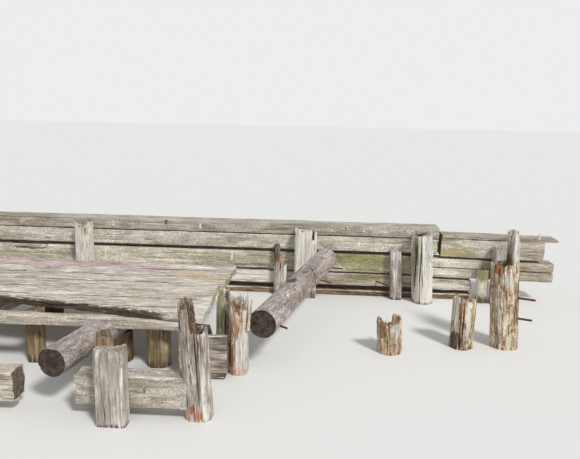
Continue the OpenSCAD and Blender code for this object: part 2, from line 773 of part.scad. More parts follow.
// Pile that ends the outer row, with a tall sliver left standing on its left side
module outer_end_pile() color("#867d6c")
    difference() {
        pile(end_pile_x, outer_front_d, end_pile_w, end_pile_d,
            end_pile_h, end_pile_low_h, -1, -end_pile_lean, 10, 90, 63);
        translate([outer_right_x1 - reach, front(outer_front_d), outer_z]) cube([reach, outer_t, outer_h]);
    }
module outer_post(x, seed) color("#b9b6ac")
    translate([x, front(outer_front_d + outer_post_d), 0])
        post(outer_post_w, outer_post_d, outer_post_h, 8, 3, 22, 1, seed);
module outer_post_1() outer_post(outer_post_x, 64);
module outer_post_2() outer_post(outer_post_x - bay, 65);
module outer_post_3() outer_post(outer_post_x - 2 * bay, 66);
module outer_back_post() color("#7d7566")
    translate([outer_post_x - back_post_step, front(outer_d), 0])
        post(back_post_w, back_post_d, back_post_h, 5, 2, 50, 0, 67);

wall_cap();
wall_upper_beam();
wall_middle_beam();
wall_lower_beam();
wall_foot_beam();
right_cap_plank();
right_upper_beam();
right_middle_plank();
right_lower_plank();
right_bottom_beam();
wall_post_far_left();
wall_post_left();
wall_post_stub();
wall_post_middle();
corner_pile();
wall_post_right();
thin_stake();
leaning_stake();
mossy_stake();
deck_plank_1();
deck_plank_2();
deck_plank_3();
deck_plank_4();
deck_plank_5();
deck_plank_6();
deck_plank_7();
deck_front_beam();
loose_log();
bearer_log_1();
bearer_log_2();
bearer_log_3();
bearer_pile_1();
bearer_pile_2();
bearer_pile_3();
bearer_back_pile_1();
bearer_back_pile_2();
bearer_back_pile_3();
tall_rotten_pile();
split_stub();
low_stub();
torn_pile();
mossy_pile();
side_block();
deck_pile_1();
deck_pile_2();
deck_pile_3();
outer_end_pile();
outer_post_1();
outer_post_2();
outer_post_3();
outer_back_post();
outer_beam_right();
outer_beam_left();
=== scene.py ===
"""Looks of the derelict jetty: weathered timbers, split piles, logs, planks, rods and torn fibres, on a pale floor."""
import math

import bpy
import numpy as np
from mathutils import Matrix, Vector


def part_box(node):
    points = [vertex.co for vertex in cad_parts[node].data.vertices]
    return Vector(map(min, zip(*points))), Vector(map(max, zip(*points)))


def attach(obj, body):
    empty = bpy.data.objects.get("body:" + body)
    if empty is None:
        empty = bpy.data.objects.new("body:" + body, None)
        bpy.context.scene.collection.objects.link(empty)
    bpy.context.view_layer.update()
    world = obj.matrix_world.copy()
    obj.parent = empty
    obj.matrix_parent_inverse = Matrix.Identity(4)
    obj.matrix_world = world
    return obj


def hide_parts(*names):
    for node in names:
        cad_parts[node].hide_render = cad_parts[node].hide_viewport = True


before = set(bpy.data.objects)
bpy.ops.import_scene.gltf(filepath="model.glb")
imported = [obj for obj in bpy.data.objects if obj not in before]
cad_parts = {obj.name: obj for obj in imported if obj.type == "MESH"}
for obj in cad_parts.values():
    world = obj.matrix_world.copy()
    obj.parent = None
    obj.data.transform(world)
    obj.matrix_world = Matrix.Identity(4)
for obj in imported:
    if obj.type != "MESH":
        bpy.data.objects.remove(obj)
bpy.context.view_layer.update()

TAU = 2 * math.pi

# Front face of the wall, the flat to which poles are hewn before it, and the top of the deck
FACE_Y = 0.1
HEWN_Y = FACE_Y - 0.001
DECK_Z = 0.6
# From one wall post to the next
BAY = 1.5
# Angle at which the bearer logs are skewed, and slope of the sunken right section
SKEW = math.radians(11.0)
SAG = math.radians(1.0)
# Where the right section starts beside the corner pile and behind it, and how deep its planks are
RIGHT_START_X, RIGHT_TUCKED_X, RIGHT_DEPTH = 1.780, 1.559, 0.26


# Noise

def lattice(i, j, k, seed):
    """Repeatable numbers between 0 and 1 at whole-number places."""
    n = (i * 73856093) ^ (j * 19349663) ^ (k * 83492791) ^ (seed * 2654435761)
    n = n & 0xFFFFFFFF
    n = (((n >> 15) ^ n) * 0x2C1B3C6D) & 0xFFFFFFFF
    n = (((n >> 12) ^ n) * 0x297A2D39) & 0xFFFFFFFF
    return (((n >> 15) ^ n) & 0xFFFFFF) / float(0xFFFFFF)


def noise(p, seed=0):
    """Smooth noise between 0 and 1 at points p."""
    p = np.asarray(p, float)
    cell = np.floor(p).astype(np.int64)
    f = p - cell
    f = f * f * (3.0 - 2.0 * f)
    total = 0.0
    for dx in (0, 1):
        wx = f[..., 0] if dx else 1.0 - f[..., 0]
        for dy in (0, 1):
            wy = f[..., 1] if dy else 1.0 - f[..., 1]
            for dz in (0, 1):
                wz = f[..., 2] if dz else 1.0 - f[..., 2]
                corner = lattice(cell[..., 0] + dx, cell[..., 1] + dy, cell[..., 2] + dz, seed)
                total = total + wx * wy * wz * corner
    return total


def fbm(p, seed=0, octaves=3):
    """Noise of several sizes on each other, between 0 and 1."""
    p = np.asarray(p, float)
    total, weight, norm = 0.0, 1.0, 0.0
    for octave in range(octaves):
        total = total + weight * noise(p * 2.0 ** octave, seed + 17 * octave)
        norm += weight
        weight *= 0.5
    return total / norm


def smooth(a, b, x):
    """0 below a, 1 above b, smooth between."""
    t = np.clip((np.asarray(x, float) - a) / (b - a), 0.0, 1.0)
    return t * t * (3.0 - 2.0 * t)


def column(*parts):
    """Stacks coordinates into points."""
    return np.stack(np.broadcast_arrays(*parts), axis=-1)


def turned(angle):
    """The same angle between minus and plus half a turn."""
    return (angle + math.pi) % TAU - math.pi


# Meshes

MASKS = ("moss", "pale", "rot", "rust", "dark", "pink", "ochre", "drip", "wet", "end")
# Slot of each material that isn't named like its slot
SLOTS = {"upper_timber": "weathered_timber", "bleached_timber": "weathered_timber", "block_timber": "weathered_timber",
         "log_wood": "round_log", "grey_post": "bleached_post", "old_pile": "rotten_wood",
         "brown_timber": "rotten_wood", "rusty_iron": "rotten_wood"}


class Skin:
    """A closed tube of rings, with its grain coordinates and which points lie on cut ends."""

    def __init__(self, rings, grain, end):
        self.rings = rings
        self.grain = grain
        self.end = end


def tube_faces(rows, cols, base):
    """Quads of a closed tube, and triangles that close its two ends."""
    i = np.arange(rows - 1)[:, None] * cols + base
    j = np.arange(cols)
    k = (j + 1) % cols
    quads = np.stack([i + j, i + k, i + cols + k, i + cols + j], axis=-1).reshape(-1, 4)
    first, top = base + rows * cols, base + (rows - 1) * cols
    fan0 = np.stack([k + base, j + base, np.full(cols, first)], axis=-1)
    fan1 = np.stack([top + j, top + k, np.full(cols, first + 1)], axis=-1)
    return quads.tolist() + fan0.tolist() + fan1.tolist()


def pack_skins(skins):
    """Vertices, faces, grain and end mask of several skins."""
    points, faces, grain, end = [], [], [], []
    base = 0
    for skin in skins:
        rows, cols = skin.rings.shape[:2]
        for array, store in ((skin.rings, points), (skin.grain, grain)):
            store += [array.reshape(-1, 3), array[0].mean(0)[None], array[-1].mean(0)[None]]
        end += [skin.end.reshape(-1), np.array([skin.end[0].mean(), skin.end[-1].mean()])]
        faces += tube_faces(rows, cols, base)
        base += rows * cols + 2
    return np.concatenate(points), faces, np.concatenate(grain), np.concatenate(end)


def add_object(name, data):
    """Puts a mesh, a light or the camera into the scene."""
    thing = bpy.data.objects.new(name, data)
    bpy.context.scene.collection.objects.link(thing)
    return thing


def make_piece(name, skins, material, seed, node=None, paint=None, slot=None, sharp=38.0):
    """Turns skins into one mesh piece that rides on the jetty and stands for its CAD node."""
    points, faces, grain, end = pack_skins(skins)
    mesh = bpy.data.meshes.new(name)
    mesh.from_pydata(points.tolist(), [], faces)
    mesh.update()
    mesh.shade_smooth()
    mesh.set_sharp_from_angle(angle=math.radians(sharp))
    offset = np.array([3.7 * seed % 11.0, 3 * seed % 13, 5 * seed % 11])
    stored = mesh.attributes.new("grain", "FLOAT_VECTOR", "POINT")
    stored.data.foreach_set("vector", (grain + offset).astype(np.float32).ravel())
    masks = {key: np.zeros(len(points)) for key in MASKS}
    masks["end"] = end
    if paint:
        masks.update((key, np.clip(value, 0.0, 1.0)) for key, value in paint(points).items())
    for key in MASKS:
        stored = mesh.attributes.new(key, "FLOAT", "POINT")
        stored.data.foreach_set("value", masks[key].astype(np.float32))
    mesh.materials.append(material)
    piece = add_object(name, mesh)
    slot = slot or SLOTS.get(material.name, material.name.split(".")[0])
    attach(piece, "root")
    if node:
        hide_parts(node)


def dress(node, skins, material, seed, paint=None, slot=None):
    """Makes the wooden piece that stands for a CAD node."""
    make_piece(node + "_wood", skins, material, seed, node, paint, slot)


def place(skin, matrix):
    """Moves a skin's rings from its own axes into the jetty's."""
    turn = np.array(matrix.to_3x3())
    shift = np.array(matrix.translation)
    skin.rings = skin.rings @ turn.T + shift
    return skin


# Painted masks

# How dark the damp foot of a pile is
DAMP = 0.6


def spots(points, marks, face=None):
    """How strongly each point lies in any of the marks, each a centre, radii and strength.

    A short mark is X, Z, half width, half height and strength, on a face given by its Y and half depth.
    """
    total = np.zeros(len(points))
    for mark in marks:
        if len(mark) == 5:
            x, z, wide, high, strength = mark
            centre, radii = (x, face[0], z), (wide, face[1], high)
        else:
            centre, radii, strength = mark
        reach = np.linalg.norm((points - np.array(centre)) / np.array(radii), axis=1)
        total = np.maximum(total, strength * (1.0 - smooth(0.25, 1.25, reach)))
    return total


def darken(out, dark):
    """Adds to the dark mask: damp wood at a pile's foot, and painted shade along joints."""
    out["dark"] = np.maximum(out.get("dark", 0.0), dark)
    return out


def marked(face=None, foot=0.0, **marks):
    """Paint with marks of moss, pale, rotten or dark wood and painted shade, and damp wood up to a height over the
    floor.
    """
    def paint(points):
        out = {key: spots(points, marks[key], face) for key in marks}
        return darken(out, DAMP * (1.0 - smooth(0.0, foot, points[:, 2]))) if foot else out
    return paint


def joint_shaded(paint, floor, strength):
    """Adds a painted shade line, partly dirt, along a timber's underside, where it lies on the next one."""
    return lambda points: darken(paint(points), strength * (1.0 - smooth(0.003, 0.016, points[:, 2] - floor)))


# Squared timbers

# Rings that close the end of a timber and of a log, and drying cracks along a log
CAP_ROWS, LOG_CAP_ROWS, LOG_CRACKS = 5, 9, 9
# Least depth of a timber's skin under its solid's face
SKIN_DEPTH = 0.0005


def section_loop(depth, height, corner, step):
    """Points round a rectangle with rounded corners, their outward directions, and how near an arris each is."""
    points, dirs, arris = [], [], []
    corners = [(corner, corner, 180), (depth - corner, corner, 270), (depth - corner, height - corner, 0),
               (corner, height - corner, 90)]
    for index, (cy, cz, start) in enumerate(corners):
        for a in (0.0, 45.0, 90.0):
            t = math.radians(start + a)
            points.append((cy + corner * math.cos(t), cz + corner * math.sin(t)))
            dirs.append((math.cos(t), math.sin(t)))
            arris.append(1.0 if a == 45.0 else 0.6)
        ny, nz, _ = corners[(index + 1) % 4]
        t = math.radians(start + 90)
        a = np.array(points[-1])
        b = np.array((ny + corner * math.cos(t), nz + corner * math.sin(t)))
        count = max(1, int(round(np.linalg.norm(b - a) / step)))
        for k in range(1, count):
            points.append(tuple(a + (b - a) * k / count))
            dirs.append((math.cos(t), math.sin(t)))
            arris.append(0.35 if k in (1, count - 1) else 0.0)
    return np.array(points), np.array(dirs), np.array(arris)


def close_ends(rings, along, rows, tail, length, bite, middle=None):
    """Closes both cut ends by rings that shrink to the middle; bite is how much is broken off at each point."""
    across = [axis for axis in range(3) if axis != along]
    caps = []
    for side in (0, 1):
        row = rings[-side][:, across]
        centre = middle if middle is not None else np.array([row[:, 0].mean(), row[:, 1].mean()])
        inner = []
        for k in range(1, rows + 1):
            u = 1.0 - k / (rows + tail)
            flat = centre + (row - centre) * u
            lost = bite(side, flat, flat - centre, u)
            parts = [flat[:, 0], flat[:, 1]]
            parts.insert(along, length - lost if side else lost)
            inner.append(column(*parts))
        caps.append(np.array(inner if side else inner[::-1]))
    return np.concatenate([caps[0], rings, caps[1]])


def cut_ends(rings, rows):
    """Mask that is 1 on the rings of both cut ends."""
    end = np.zeros(rings.shape[:2])
    end[:rows] = 1.0
    end[-rows:] = 1.0
    return end


def timber(length, depth, height, seed, step=0.03, across=0.014, corner=0.012, rough=0.003, wear=0.010,
           ragged=(0.0, 0.03), checks=6, dents=(), shape=None):
    """Weathered squared timber along X, from x = 0, front at y = 0, underside at z = 0."""
    sec, dirs, arris = section_loop(depth, height, corner, across)
    rows = max(3, int(round(length / step)) + 1)
    here = column(np.linspace(0.0, length, rows)[:, None], sec[:, 0], sec[:, 1])
    x, y, z = here[..., 0], here[..., 1], here[..., 2]
    inward = rough * (fbm(here * [1.3, 14.0, 14.0], seed) * 2.0 - 0.6)
    inward = inward + arris * wear * smooth(0.25, 0.8, fbm(here * [3.5, 6.0, 6.0], seed + 3))
    rng = np.random.default_rng(seed)
    for _ in range(checks):
        inward = inward + drying_check(rng, x, y, z, length, depth, height)
    for dent in dents:
        inward = inward + broken_patch(dent, x, y, z, depth, seed)
    inward = np.maximum(inward, SKIN_DEPTH)
    y = y - dirs[:, 0] * inward
    z = z - dirs[:, 1] * inward
    rings = column(ragged_ends(x, y, z, length, ragged, seed), y, z)

    def bite(side, yz, _, __):
        pores = noise(column(0.0, yz[:, 0] * 60, yz[:, 1] * 60), seed)
        return ragged[side] * end_bite(yz[:, 0], yz[:, 1], seed + side) + 0.004 * pores

    rings = close_ends(rings, 0, CAP_ROWS, 0.6, length, bite, np.array([depth / 2, height / 2]))
    if shape is not None:
        rings = shape(rings)
    return Skin(rings, rings - [0.0, depth / 2, height * 0.4], cut_ends(rings, CAP_ROWS))


def end_bite(y, z, seed):
    """How much is broken off a timber's end, 0 to 1."""
    return fbm(column(seed, y * 13.0, z * 16.0), seed + 5, 4)


def ragged_ends(x, y, z, length, ragged, seed):
    """Pulls the last stretch of each line of the timber back by what is broken off there."""
    reach = min(0.2, length / 4)
    near = 1.0 - smooth(0.0, reach, x)
    far = smooth(length - reach, length, x)
    return x + near * ragged[0] * end_bite(y, z, seed) - far * ragged[1] * end_bite(y, z, seed + 1)


def broken_patch(dent, x, y, z, depth, seed):
    """Depth of a place where the front is broken out: (x, z, half length, half height, depth)."""
    cx, cz, half_x, half_z, deep = dent
    reach = np.maximum(np.abs(x - cx) / half_x, np.abs(z - cz) / half_z)
    reach = reach + 0.5 * (fbm(column(x * 9.0, z * 25.0, 0.0), seed + 31) - 0.5)
    fibres = 0.5 + fbm(column(x * 4.0, z * 60.0, y), seed + 8)
    return deep * (1.0 - smooth(0.75, 1.05, reach)) * (y < 0.6 * depth) * fibres


def drying_check(rng, x, y, z, length, depth, height):
    """Depth of one long crack in the front or top of a timber."""
    front = rng.random() < 0.6
    across, size = (z, height) if front else (y, depth)
    line = rng.uniform(0.15, 0.85) * size
    start = rng.uniform(-0.1, 0.8) * length
    run = rng.uniform(0.15, 0.5) * min(length, 2.5)
    wander = 0.012 * (noise(column(x * 2.2, line * 9, 0.0), int(rng.integers(1, 900))) - 0.5)
    gap = np.abs(across - line - wander)
    window = smooth(start, start + 0.12, x) * (1.0 - smooth(start + run, start + run + 0.2, x))
    face = (y < 0.3 * depth) if front else (z > 0.7 * height)
    return 0.010 * window * face * (1.0 - smooth(0.003, 0.013, gap))


# Poles: piles, posts and stakes

# Step up a pole, how far it starts under the floor so that a leaning one can be cut level, and a sawn flat head
POLE_STEP, FOOT = 0.020, 0.03
SAWN = {"drop": 0.004, "staves": 4, "hollow": 0.0, "head_rows": 5}


def split_heights(theta, height, drop, staves, seed, side, low):
    """Height of the broken head at each angle: staves that have split off at their own heights."""
    rng = np.random.default_rng(seed)
    edges = np.sort(rng.random(staves)) * TAU
    tops = height - drop * rng.random(staves) ** 1.3
    tops[int(rng.integers(staves))] = height
    slant = rng.uniform(-1.0, 1.0, staves)
    index = np.searchsorted(edges, theta % TAU) % staves
    away = turned(theta - (edges[index] + np.roll(edges, 1)[index]) / 2)
    h = tops[index] + slant[index] * away * drop * 0.5
    h = h - 0.35 * drop * noise(column(np.cos(theta) * 9, np.sin(theta) * 9, 0.0), seed + 2)
    if side is not None:
        mask = smooth(-0.05, 0.12, side(theta))
        h = low + (h - height) * (0.2 + 0.6 * mask) + mask * (height - low)
    return np.minimum(h, height)


def pole_cracks(theta, z, width, height, grooves, groove, seed):
    """Depth of the drying cracks that run down a pole."""
    rng = np.random.default_rng(seed + 5)
    cut = 0.0 * z
    for _ in range(grooves):
        line = rng.uniform(0, TAU)
        sway = 0.16 * (noise(column(z * 2.2, line * 5, 0.0), seed + 1) - 0.5)
        gap = np.abs(turned(theta - line - sway)) * width / 2
        start = rng.uniform(-0.4, 0.7) * height
        window = smooth(start, start + 0.15, z) * (1.0 - smooth(start + 0.6 * height, start + 0.75 * height, z))
        if rng.random() < 0.4:
            window = smooth(height * 0.45, height * 0.8, z)
        cut = np.maximum(cut, groove * rng.uniform(0.6, 1.6) * window * (1.0 - smooth(0.001, 0.009, gap)))
    return cut


def pole(width, depth, height, seed, square=2.0, cols=120, drop=0.08, staves=9, side=None, low=None, hollow=0.10,
         grooves=9, groove=0.010, ribs=0.0, rough=0.004, head_rows=9, bulge=None):
    """Pole round the Z axis: a rough skin with drying cracks, and a head of broken staves round a rotten core."""
    theta = np.arange(cols) * TAU / cols
    c, s = np.cos(theta), np.sin(theta)
    reach = (np.abs(c) ** square + np.abs(s) ** square) ** (-1.0 / square)
    h = split_heights(theta, height, drop, staves, seed, side, low)
    t = np.linspace(0.0, 1.0, max(4, int(round(height / POLE_STEP)) + 1))[:, None]
    z = t * (h + FOOT) - FOOT
    inward = rough * (2.0 * fbm(column(c * 3.2, s * 3.2, z * 2.0), seed) - 1.0)
    inward = inward + 0.35 * rough * noise(column(c * 22, s * 22, z * 3.0), seed + 9)
    inward = inward + ribs * np.abs(2.0 * fbm(column(c * 7, s * 7, z * 0.9), seed + 21, 2) - 1.0) * 1.6
    inward = np.maximum(inward + pole_cracks(theta, z, width, height, grooves, groove, seed), 0.0)
    thin = smooth(0.90, 1.0, t) * 0.02 * width
    swell = bulge(theta, z) if bulge else 1.0
    skin = column((width / 2 * reach - inward - thin) * swell * c, (depth / 2 * reach - inward - thin) * swell * s, z)

    core = (low if low is not None else height) - 0.6 * drop - hollow
    head = []
    for k in range(1, head_rows + 1):
        u = 1.0 - k / (head_rows + 0.5)
        x, y = skin[-1, :, 0] * u, skin[-1, :, 1] * u
        torn = fbm(column(x * 34, y * 34, 0.0), seed + 7, 3)
        fall = (h - core) * (1.0 - u ** 1.6)
        head.append(column(x, y, np.minimum(h - fall * (0.55 + 0.7 * torn) + 0.02 * (torn - 0.5), h)))
    under = [column(skin[0, :, 0] * u, skin[0, :, 1] * u, -FOOT) for u in (1.0 - k / 3.4 for k in (3, 2, 1))]
    rings = np.concatenate([np.array(under), skin, np.array(head)])
    end = np.zeros(rings.shape[:2])
    end[:len(under)] = 1.0
    end[-head_rows:] = 0.75
    return Skin(rings, rings[..., [2, 0, 1]], end)


def stand(skin, x, y, lean=0.0, front=-math.inf, back=math.inf):
    """Sets a pole on its place, leaning towards +X, hewn flat at a front or back Y and cut level at its foot."""
    place(skin, Matrix.Translation((x, y, 0.0)) @ Matrix.Rotation(math.radians(lean), 4, "Y"))
    skin.rings[..., 1] = np.clip(skin.rings[..., 1], front, back)
    skin.rings[..., 2] = np.maximum(skin.rings[..., 2], 0.0)
    return skin


def pile(node, material, seed, size, foot, paint, lean=0.0, front=-math.inf, back=math.inf, more=(), slot=None,
         **form):
    """Pile, post or stake that stands for its CAD node: its width, depth and height, and X and Y of its foot."""
    skin = stand(pole(*size, seed, **form), *foot, lean, front, back)
    dress(node, [skin, *more], material, seed, paint, slot)


# Splinters, fibres and rods

# Step along a rod, points round it, how far its ends are rounded in, and the deepest pit, as shares of the radius
ROD_STEP, ROD_COLS, ROD_END, ROD_PIT = 0.012, 10, 0.62, 0.14
PITS = 160


def strand(start, direction, length, width, thick, seed, bend=0.25, rows=6, cols=4, tip=0.12):
    """Thin tapering splinter from a start point along a direction, bending a little."""
    rng = np.random.default_rng(seed)
    d = Vector(direction).normalized()
    side = d.orthogonal().normalized()
    side.rotate(Matrix.Rotation(rng.uniform(0, TAU), 3, d))
    other = d.cross(side)
    curve = Vector(rng.normal(size=3)) * bend * length * 0.5
    angles = [TAU * j / cols for j in range(cols)]
    rings, grain = [], []
    for i in range(rows):
        t = i / (rows - 1)
        centre = Vector(start) + d * length * t + curve * t * t
        size = (1.0 - t) ** 0.8 + tip
        wobble = 1.0 + 0.25 * (rng.random() - 0.5)
        rings.append([tuple(centre + side * math.cos(a + 0.4 * t) * width / 2 * size * wobble
                            + other * math.sin(a + 0.4 * t) * thick / 2 * size) for a in angles])
        grain.append([(length * t + seed * 0.37 % 3.0, width * math.cos(a), thick * math.sin(a)) for a in angles])
    return Skin(np.array(rings), np.array(grain), np.zeros((rows, cols)))


def tuft(count, centre, spread, length, width, seed, lean=(0.0, 0.0, 1.0), sway=0.3):
    """Torn fibres that stand on a broken head or flank."""
    rng = np.random.default_rng(seed + 500)
    fibres = []
    for i in range(count):
        a, r = rng.uniform(0, TAU), math.sqrt(rng.random())
        start = Vector(centre) + Vector((spread[0] * r * math.cos(a), spread[1] * r * math.sin(a),
                                         spread[2] * (2 * rng.random() - 1)))
        direction = Vector(lean) + Vector(rng.normal(size=3)) * sway
        size = length * rng.uniform(0.35, 1.0)
        fibres.append(strand(start, direction, size, width * rng.uniform(0.5, 1.0), width * 0.4, seed * 131 + i, 0.2))
    return fibres


def rod(start, stop, radius, seed):
    """Straight iron rod, pitted, with rounded ends."""
    a, b = Vector(start), Vector(stop)
    count = max(2, int((b - a).length / ROD_STEP))
    centres = [a.lerp(b, k / count) for k in range(count)] + [b]
    angles = [TAU * j / ROD_COLS for j in range(ROD_COLS)]
    rings, grain = [], []
    run = 0.0
    for i, centre in enumerate(centres):
        ahead = (centres[min(i + 1, count)] - centres[max(i - 1, 0)]).normalized()
        side = ahead.orthogonal().normalized()
        other = ahead.cross(side)
        r = radius * (ROD_END if i in (0, count) else 1.0)
        ring = []
        for angle in angles:
            out = (side * math.cos(angle) + other * math.sin(angle)) * r
            p = centre + out
            pit = ROD_PIT * float(noise([p.x * PITS, p.y * PITS, p.z * PITS], seed))
            ring.append(tuple(centre + out * (1.0 - pit)))
        rings.append(ring)
        grain.append([(run, radius * math.cos(angle), radius * math.sin(angle)) for angle in angles])
        run += ROD_STEP
    return Skin(np.array(rings), np.array(grain), np.zeros((count + 1, ROD_COLS)))


# Round logs

def log_radius(length, radius, y, theta, seed, taper, rough, knots, girdles):
    """Radius of a log at each place along and round it, with knots, girdle lines and drying cracks."""
    rng = np.random.default_rng(seed)
    c, s = np.cos(theta), np.sin(theta)
    r = radius * (1.0 - taper * y / length) + 0 * theta - 0.001
    r = r - 0.006 * np.maximum(0.0, fbm(column(c * 1.2, s * 1.2, y * 2.1), seed) - 0.4)
    r = r - rough * noise(column(c * 15, s * 15, y * 2.5), seed + 2)
    for _ in range(knots):
        ky, ka = rng.uniform(0.1, 0.95) * length, rng.uniform(-0.2, math.pi + 0.2)
        gap = np.hypot((y - ky) / 0.045, turned(theta - ka) * radius / 0.035)
        r = r - 0.010 * (1.0 - smooth(0.1, 0.6, gap))
    for place_at, deep, tilt in girdles:
        r = r - 0.007 * deep * (1.0 - smooth(0.006, 0.022, np.abs(y - place_at + tilt * c)))
    for _ in range(LOG_CRACKS):
        line = rng.uniform(0, TAU)
        start = rng.uniform(-0.3, 0.9) * length
        sway = 0.1 * (noise(column(y * 1.5, line, 0.0), seed) - 0.5)
        gap = np.abs(turned(theta - line - sway)) * radius
        window = smooth(start, start + 0.2, y) * (1.0 - smooth(start + 0.7, start + 1.0, y))
        r = r - 0.009 * window * (1.0 - smooth(0.002, 0.012, gap))
    return r - 0.002 * (1.0 - smooth(0.0, 0.03, y))


def log(length, radius, seed, cols=88, step=0.02, taper=0.03, rough=0.003, knots=7, flat=None, girdles=()):
    """Round log along Y from its dark cut end at y = 0."""
    y = np.linspace(0.0, length, int(round(length / step)) + 1)[:, None]
    theta = (np.arange(cols) * TAU / cols)[None, :]
    r = log_radius(length, radius, y, theta, seed, taper, rough, knots, girdles)
    skin = column(r * np.cos(theta), y, r * np.sin(theta))
    skin = np.concatenate([skin[:1], skin])
    skin[1, :, 1] += 0.004
    if flat is not None:
        skin[..., 2] = np.minimum(skin[..., 2], flat)

    def bite(_, xz, off_centre, u):
        lost = 0.010 * fbm(column(xz[:, 0] * 22, xz[:, 1] * 22, 0.0), seed + 4)
        angle = np.arctan2(off_centre[:, 1], off_centre[:, 0])
        for crack in range(2):
            line = 2.6 * crack + 1.5 * float(noise([crack, seed, 0.5], 3))
            off = np.abs(turned(angle - line)) * np.hypot(off_centre[:, 0], off_centre[:, 1])
            lost = lost + 0.008 * (1.0 - smooth(0.001, 0.008, off)) * (u > 0.3)
        return lost

    rings = close_ends(skin, 1, LOG_CAP_ROWS, 0.4, length, bite)
    return Skin(rings, rings[..., [1, 0, 2]], cut_ends(rings, LOG_CAP_ROWS + 1))


# Materials

class Graph:
    """Short names for the shader nodes of one material or world."""

    def __init__(self, owner):
        owner.use_nodes = True
        self.owner = owner
        self.tree = owner.node_tree
        self.grain = None

    def feed(self, node, inputs):
        """Links or sets some inputs of a node."""
        for key, value in inputs.items():
            if isinstance(value, bpy.types.NodeSocket):
                self.tree.links.new(value, node.inputs[key])
            else:
                node.inputs[key].default_value = value

    def add(self, kind, inputs=None, **values):
        node = self.tree.nodes.new(kind)
        for key, value in values.items():
            setattr(node, key, value)
        self.feed(node, inputs or {})
        return node

    def attribute(self, name, output="Fac"):
        return self.add("ShaderNodeAttribute", attribute_name=name).outputs[output]

    def stretch(self, along, across):
        """The grain's coordinates, multiplied along and across the grain."""
        inputs = {0: self.grain, 1: (along, across, across)}
        return self.add("ShaderNodeVectorMath", inputs, operation="MULTIPLY").outputs[0]

    def noise(self, along, across, detail=2.0, rough=0.55, distortion=0.0):
        inputs = {"Vector": self.stretch(along, across), "Scale": 1.0, "Detail": detail, "Roughness": rough,
                  "Distortion": distortion}
        return self.add("ShaderNodeTexNoise", inputs).outputs["Fac"]

    def math(self, operation, a, b=0.0):
        return self.add("ShaderNodeMath", {0: a, 1: b}, operation=operation).outputs[0]

    def times(self, a, b):
        return self.math("MULTIPLY", a, b)

    def plus(self, a, b):
        return self.math("ADD", a, b)

    def minus(self, a, b):
        return self.math("SUBTRACT", a, b)

    def span(self, value, low, high, out_low=0.0, out_high=1.0):
        inputs = {"Value": value, "From Min": low, "From Max": high, "To Min": out_low, "To Max": out_high}
        return self.add("ShaderNodeMapRange", inputs, interpolation_type="SMOOTHSTEP").outputs["Result"]

    def mix(self, factor, a, b, blend="MIX"):
        inputs = {"Factor": factor, 6: a, 7: b}
        return self.add("ShaderNodeMix", inputs, data_type="RGBA", blend_type=blend).outputs[2]

    def ramp(self, value, bands):
        """Bands of colour: the place of each, and its red, green and blue on the screen."""
        node = self.add("ShaderNodeValToRGB", {"Fac": value})
        while len(node.color_ramp.elements) < len(bands):
            node.color_ramp.elements.new(0.5)
        for element, (place_at, *colour) in zip(node.color_ramp.elements, bands):
            element.position = place_at
            element.color = rgb(*colour)
        return node.outputs["Color"]

    def bump(self, height, distance):
        inputs = {"Strength": 1.0, "Distance": distance, "Height": height}
        return self.add("ShaderNodeBump", inputs).outputs["Normal"]

    def surface(self, inputs):
        """Feeds the surface, and gives the material back."""
        self.feed(self.tree.nodes["Principled BSDF"], inputs)
        return self.owner


def grained(name):
    """Nodes of a new material that follows the grain."""
    g = Graph(bpy.data.materials.new(name))
    g.grain = g.attribute("grain", "Vector")
    return g


def rgb(r, g, b):
    """Colour given as 0 to 255 on the screen, turned into the linear colour that a shader takes."""
    def line(v):
        v /= 255.0
        return v / 12.92 if v <= 0.04045 else ((v + 0.055) / 1.055) ** 2.4
    return (line(r), line(g), line(b), 1.0)


WHITE, CREAM = rgb(248, 245, 238), rgb(226, 222, 212)
MOSS_DARK, MOSS_LIGHT = rgb(100, 102, 48), rgb(170, 168, 92)
# The dark tint serves dark stains and painted shade; the damp tint serves damp wood and painted shade
CRACK, KNOT, DARK_STAIN_AND_SHADE, DAMP_AND_SHADE_TINT = rgb(52, 44, 36), rgb(88, 70, 54), rgb(56, 47, 38), rgb(210, 204, 194)
OCHRE = rgb(226, 194, 122)
ROT_BANDS = ((0.0, 84, 52, 40), (0.28, 134, 84, 62), (0.5, 172, 116, 88), (0.72, 196, 158, 130), (1.0, 226, 206, 184))
RUST_BANDS = ((0.0, 104, 58, 38), (0.5, 176, 102, 58), (1.0, 216, 152, 98))
IRON_BANDS = ((0.25, 66, 40, 32), (0.5, 112, 58, 44), (0.75, 150, 82, 58))
# Stripes of a wood: their share of its colour, their noise along and across the grain, and their bands
ROTTEN_STRIPES = 0.7, (11.0, 24.0), (
    (0.36, 104, 64, 46), (0.42, 184, 120, 88), (0.48, 216, 188, 150), (0.54, 242, 230, 200), (0.63, 252, 248, 236))
OLD_STRIPES = 0.6, (4.0, 32.0), (
    (0.36, 92, 74, 66), (0.43, 156, 136, 126), (0.49, 192, 182, 174), (0.56, 216, 208, 198), (0.64, 242, 238, 230))
DECK_STRIPES = 0.6, (4.5, 56.0), (
    (0.35, 134, 118, 102), (0.42, 190, 175, 158), (0.50, 222, 211, 198), (0.61, 250, 245, 236))
LOG_STRIPES = 0.6, (9.0, 22.0), (
    (0.36, 118, 107, 103), (0.43, 152, 141, 137), (0.50, 176, 165, 160), (0.58, 196, 186, 180), (0.66, 224, 216, 210))


def broken(g, mask, noise, amount):
    """A painted mask broken into streaks and flecks by a noise."""
    scatter = g.plus(1.0, g.times(g.minus(noise, 0.5), amount))
    return g.span(g.times(mask, scatter), 0.38, 0.66)


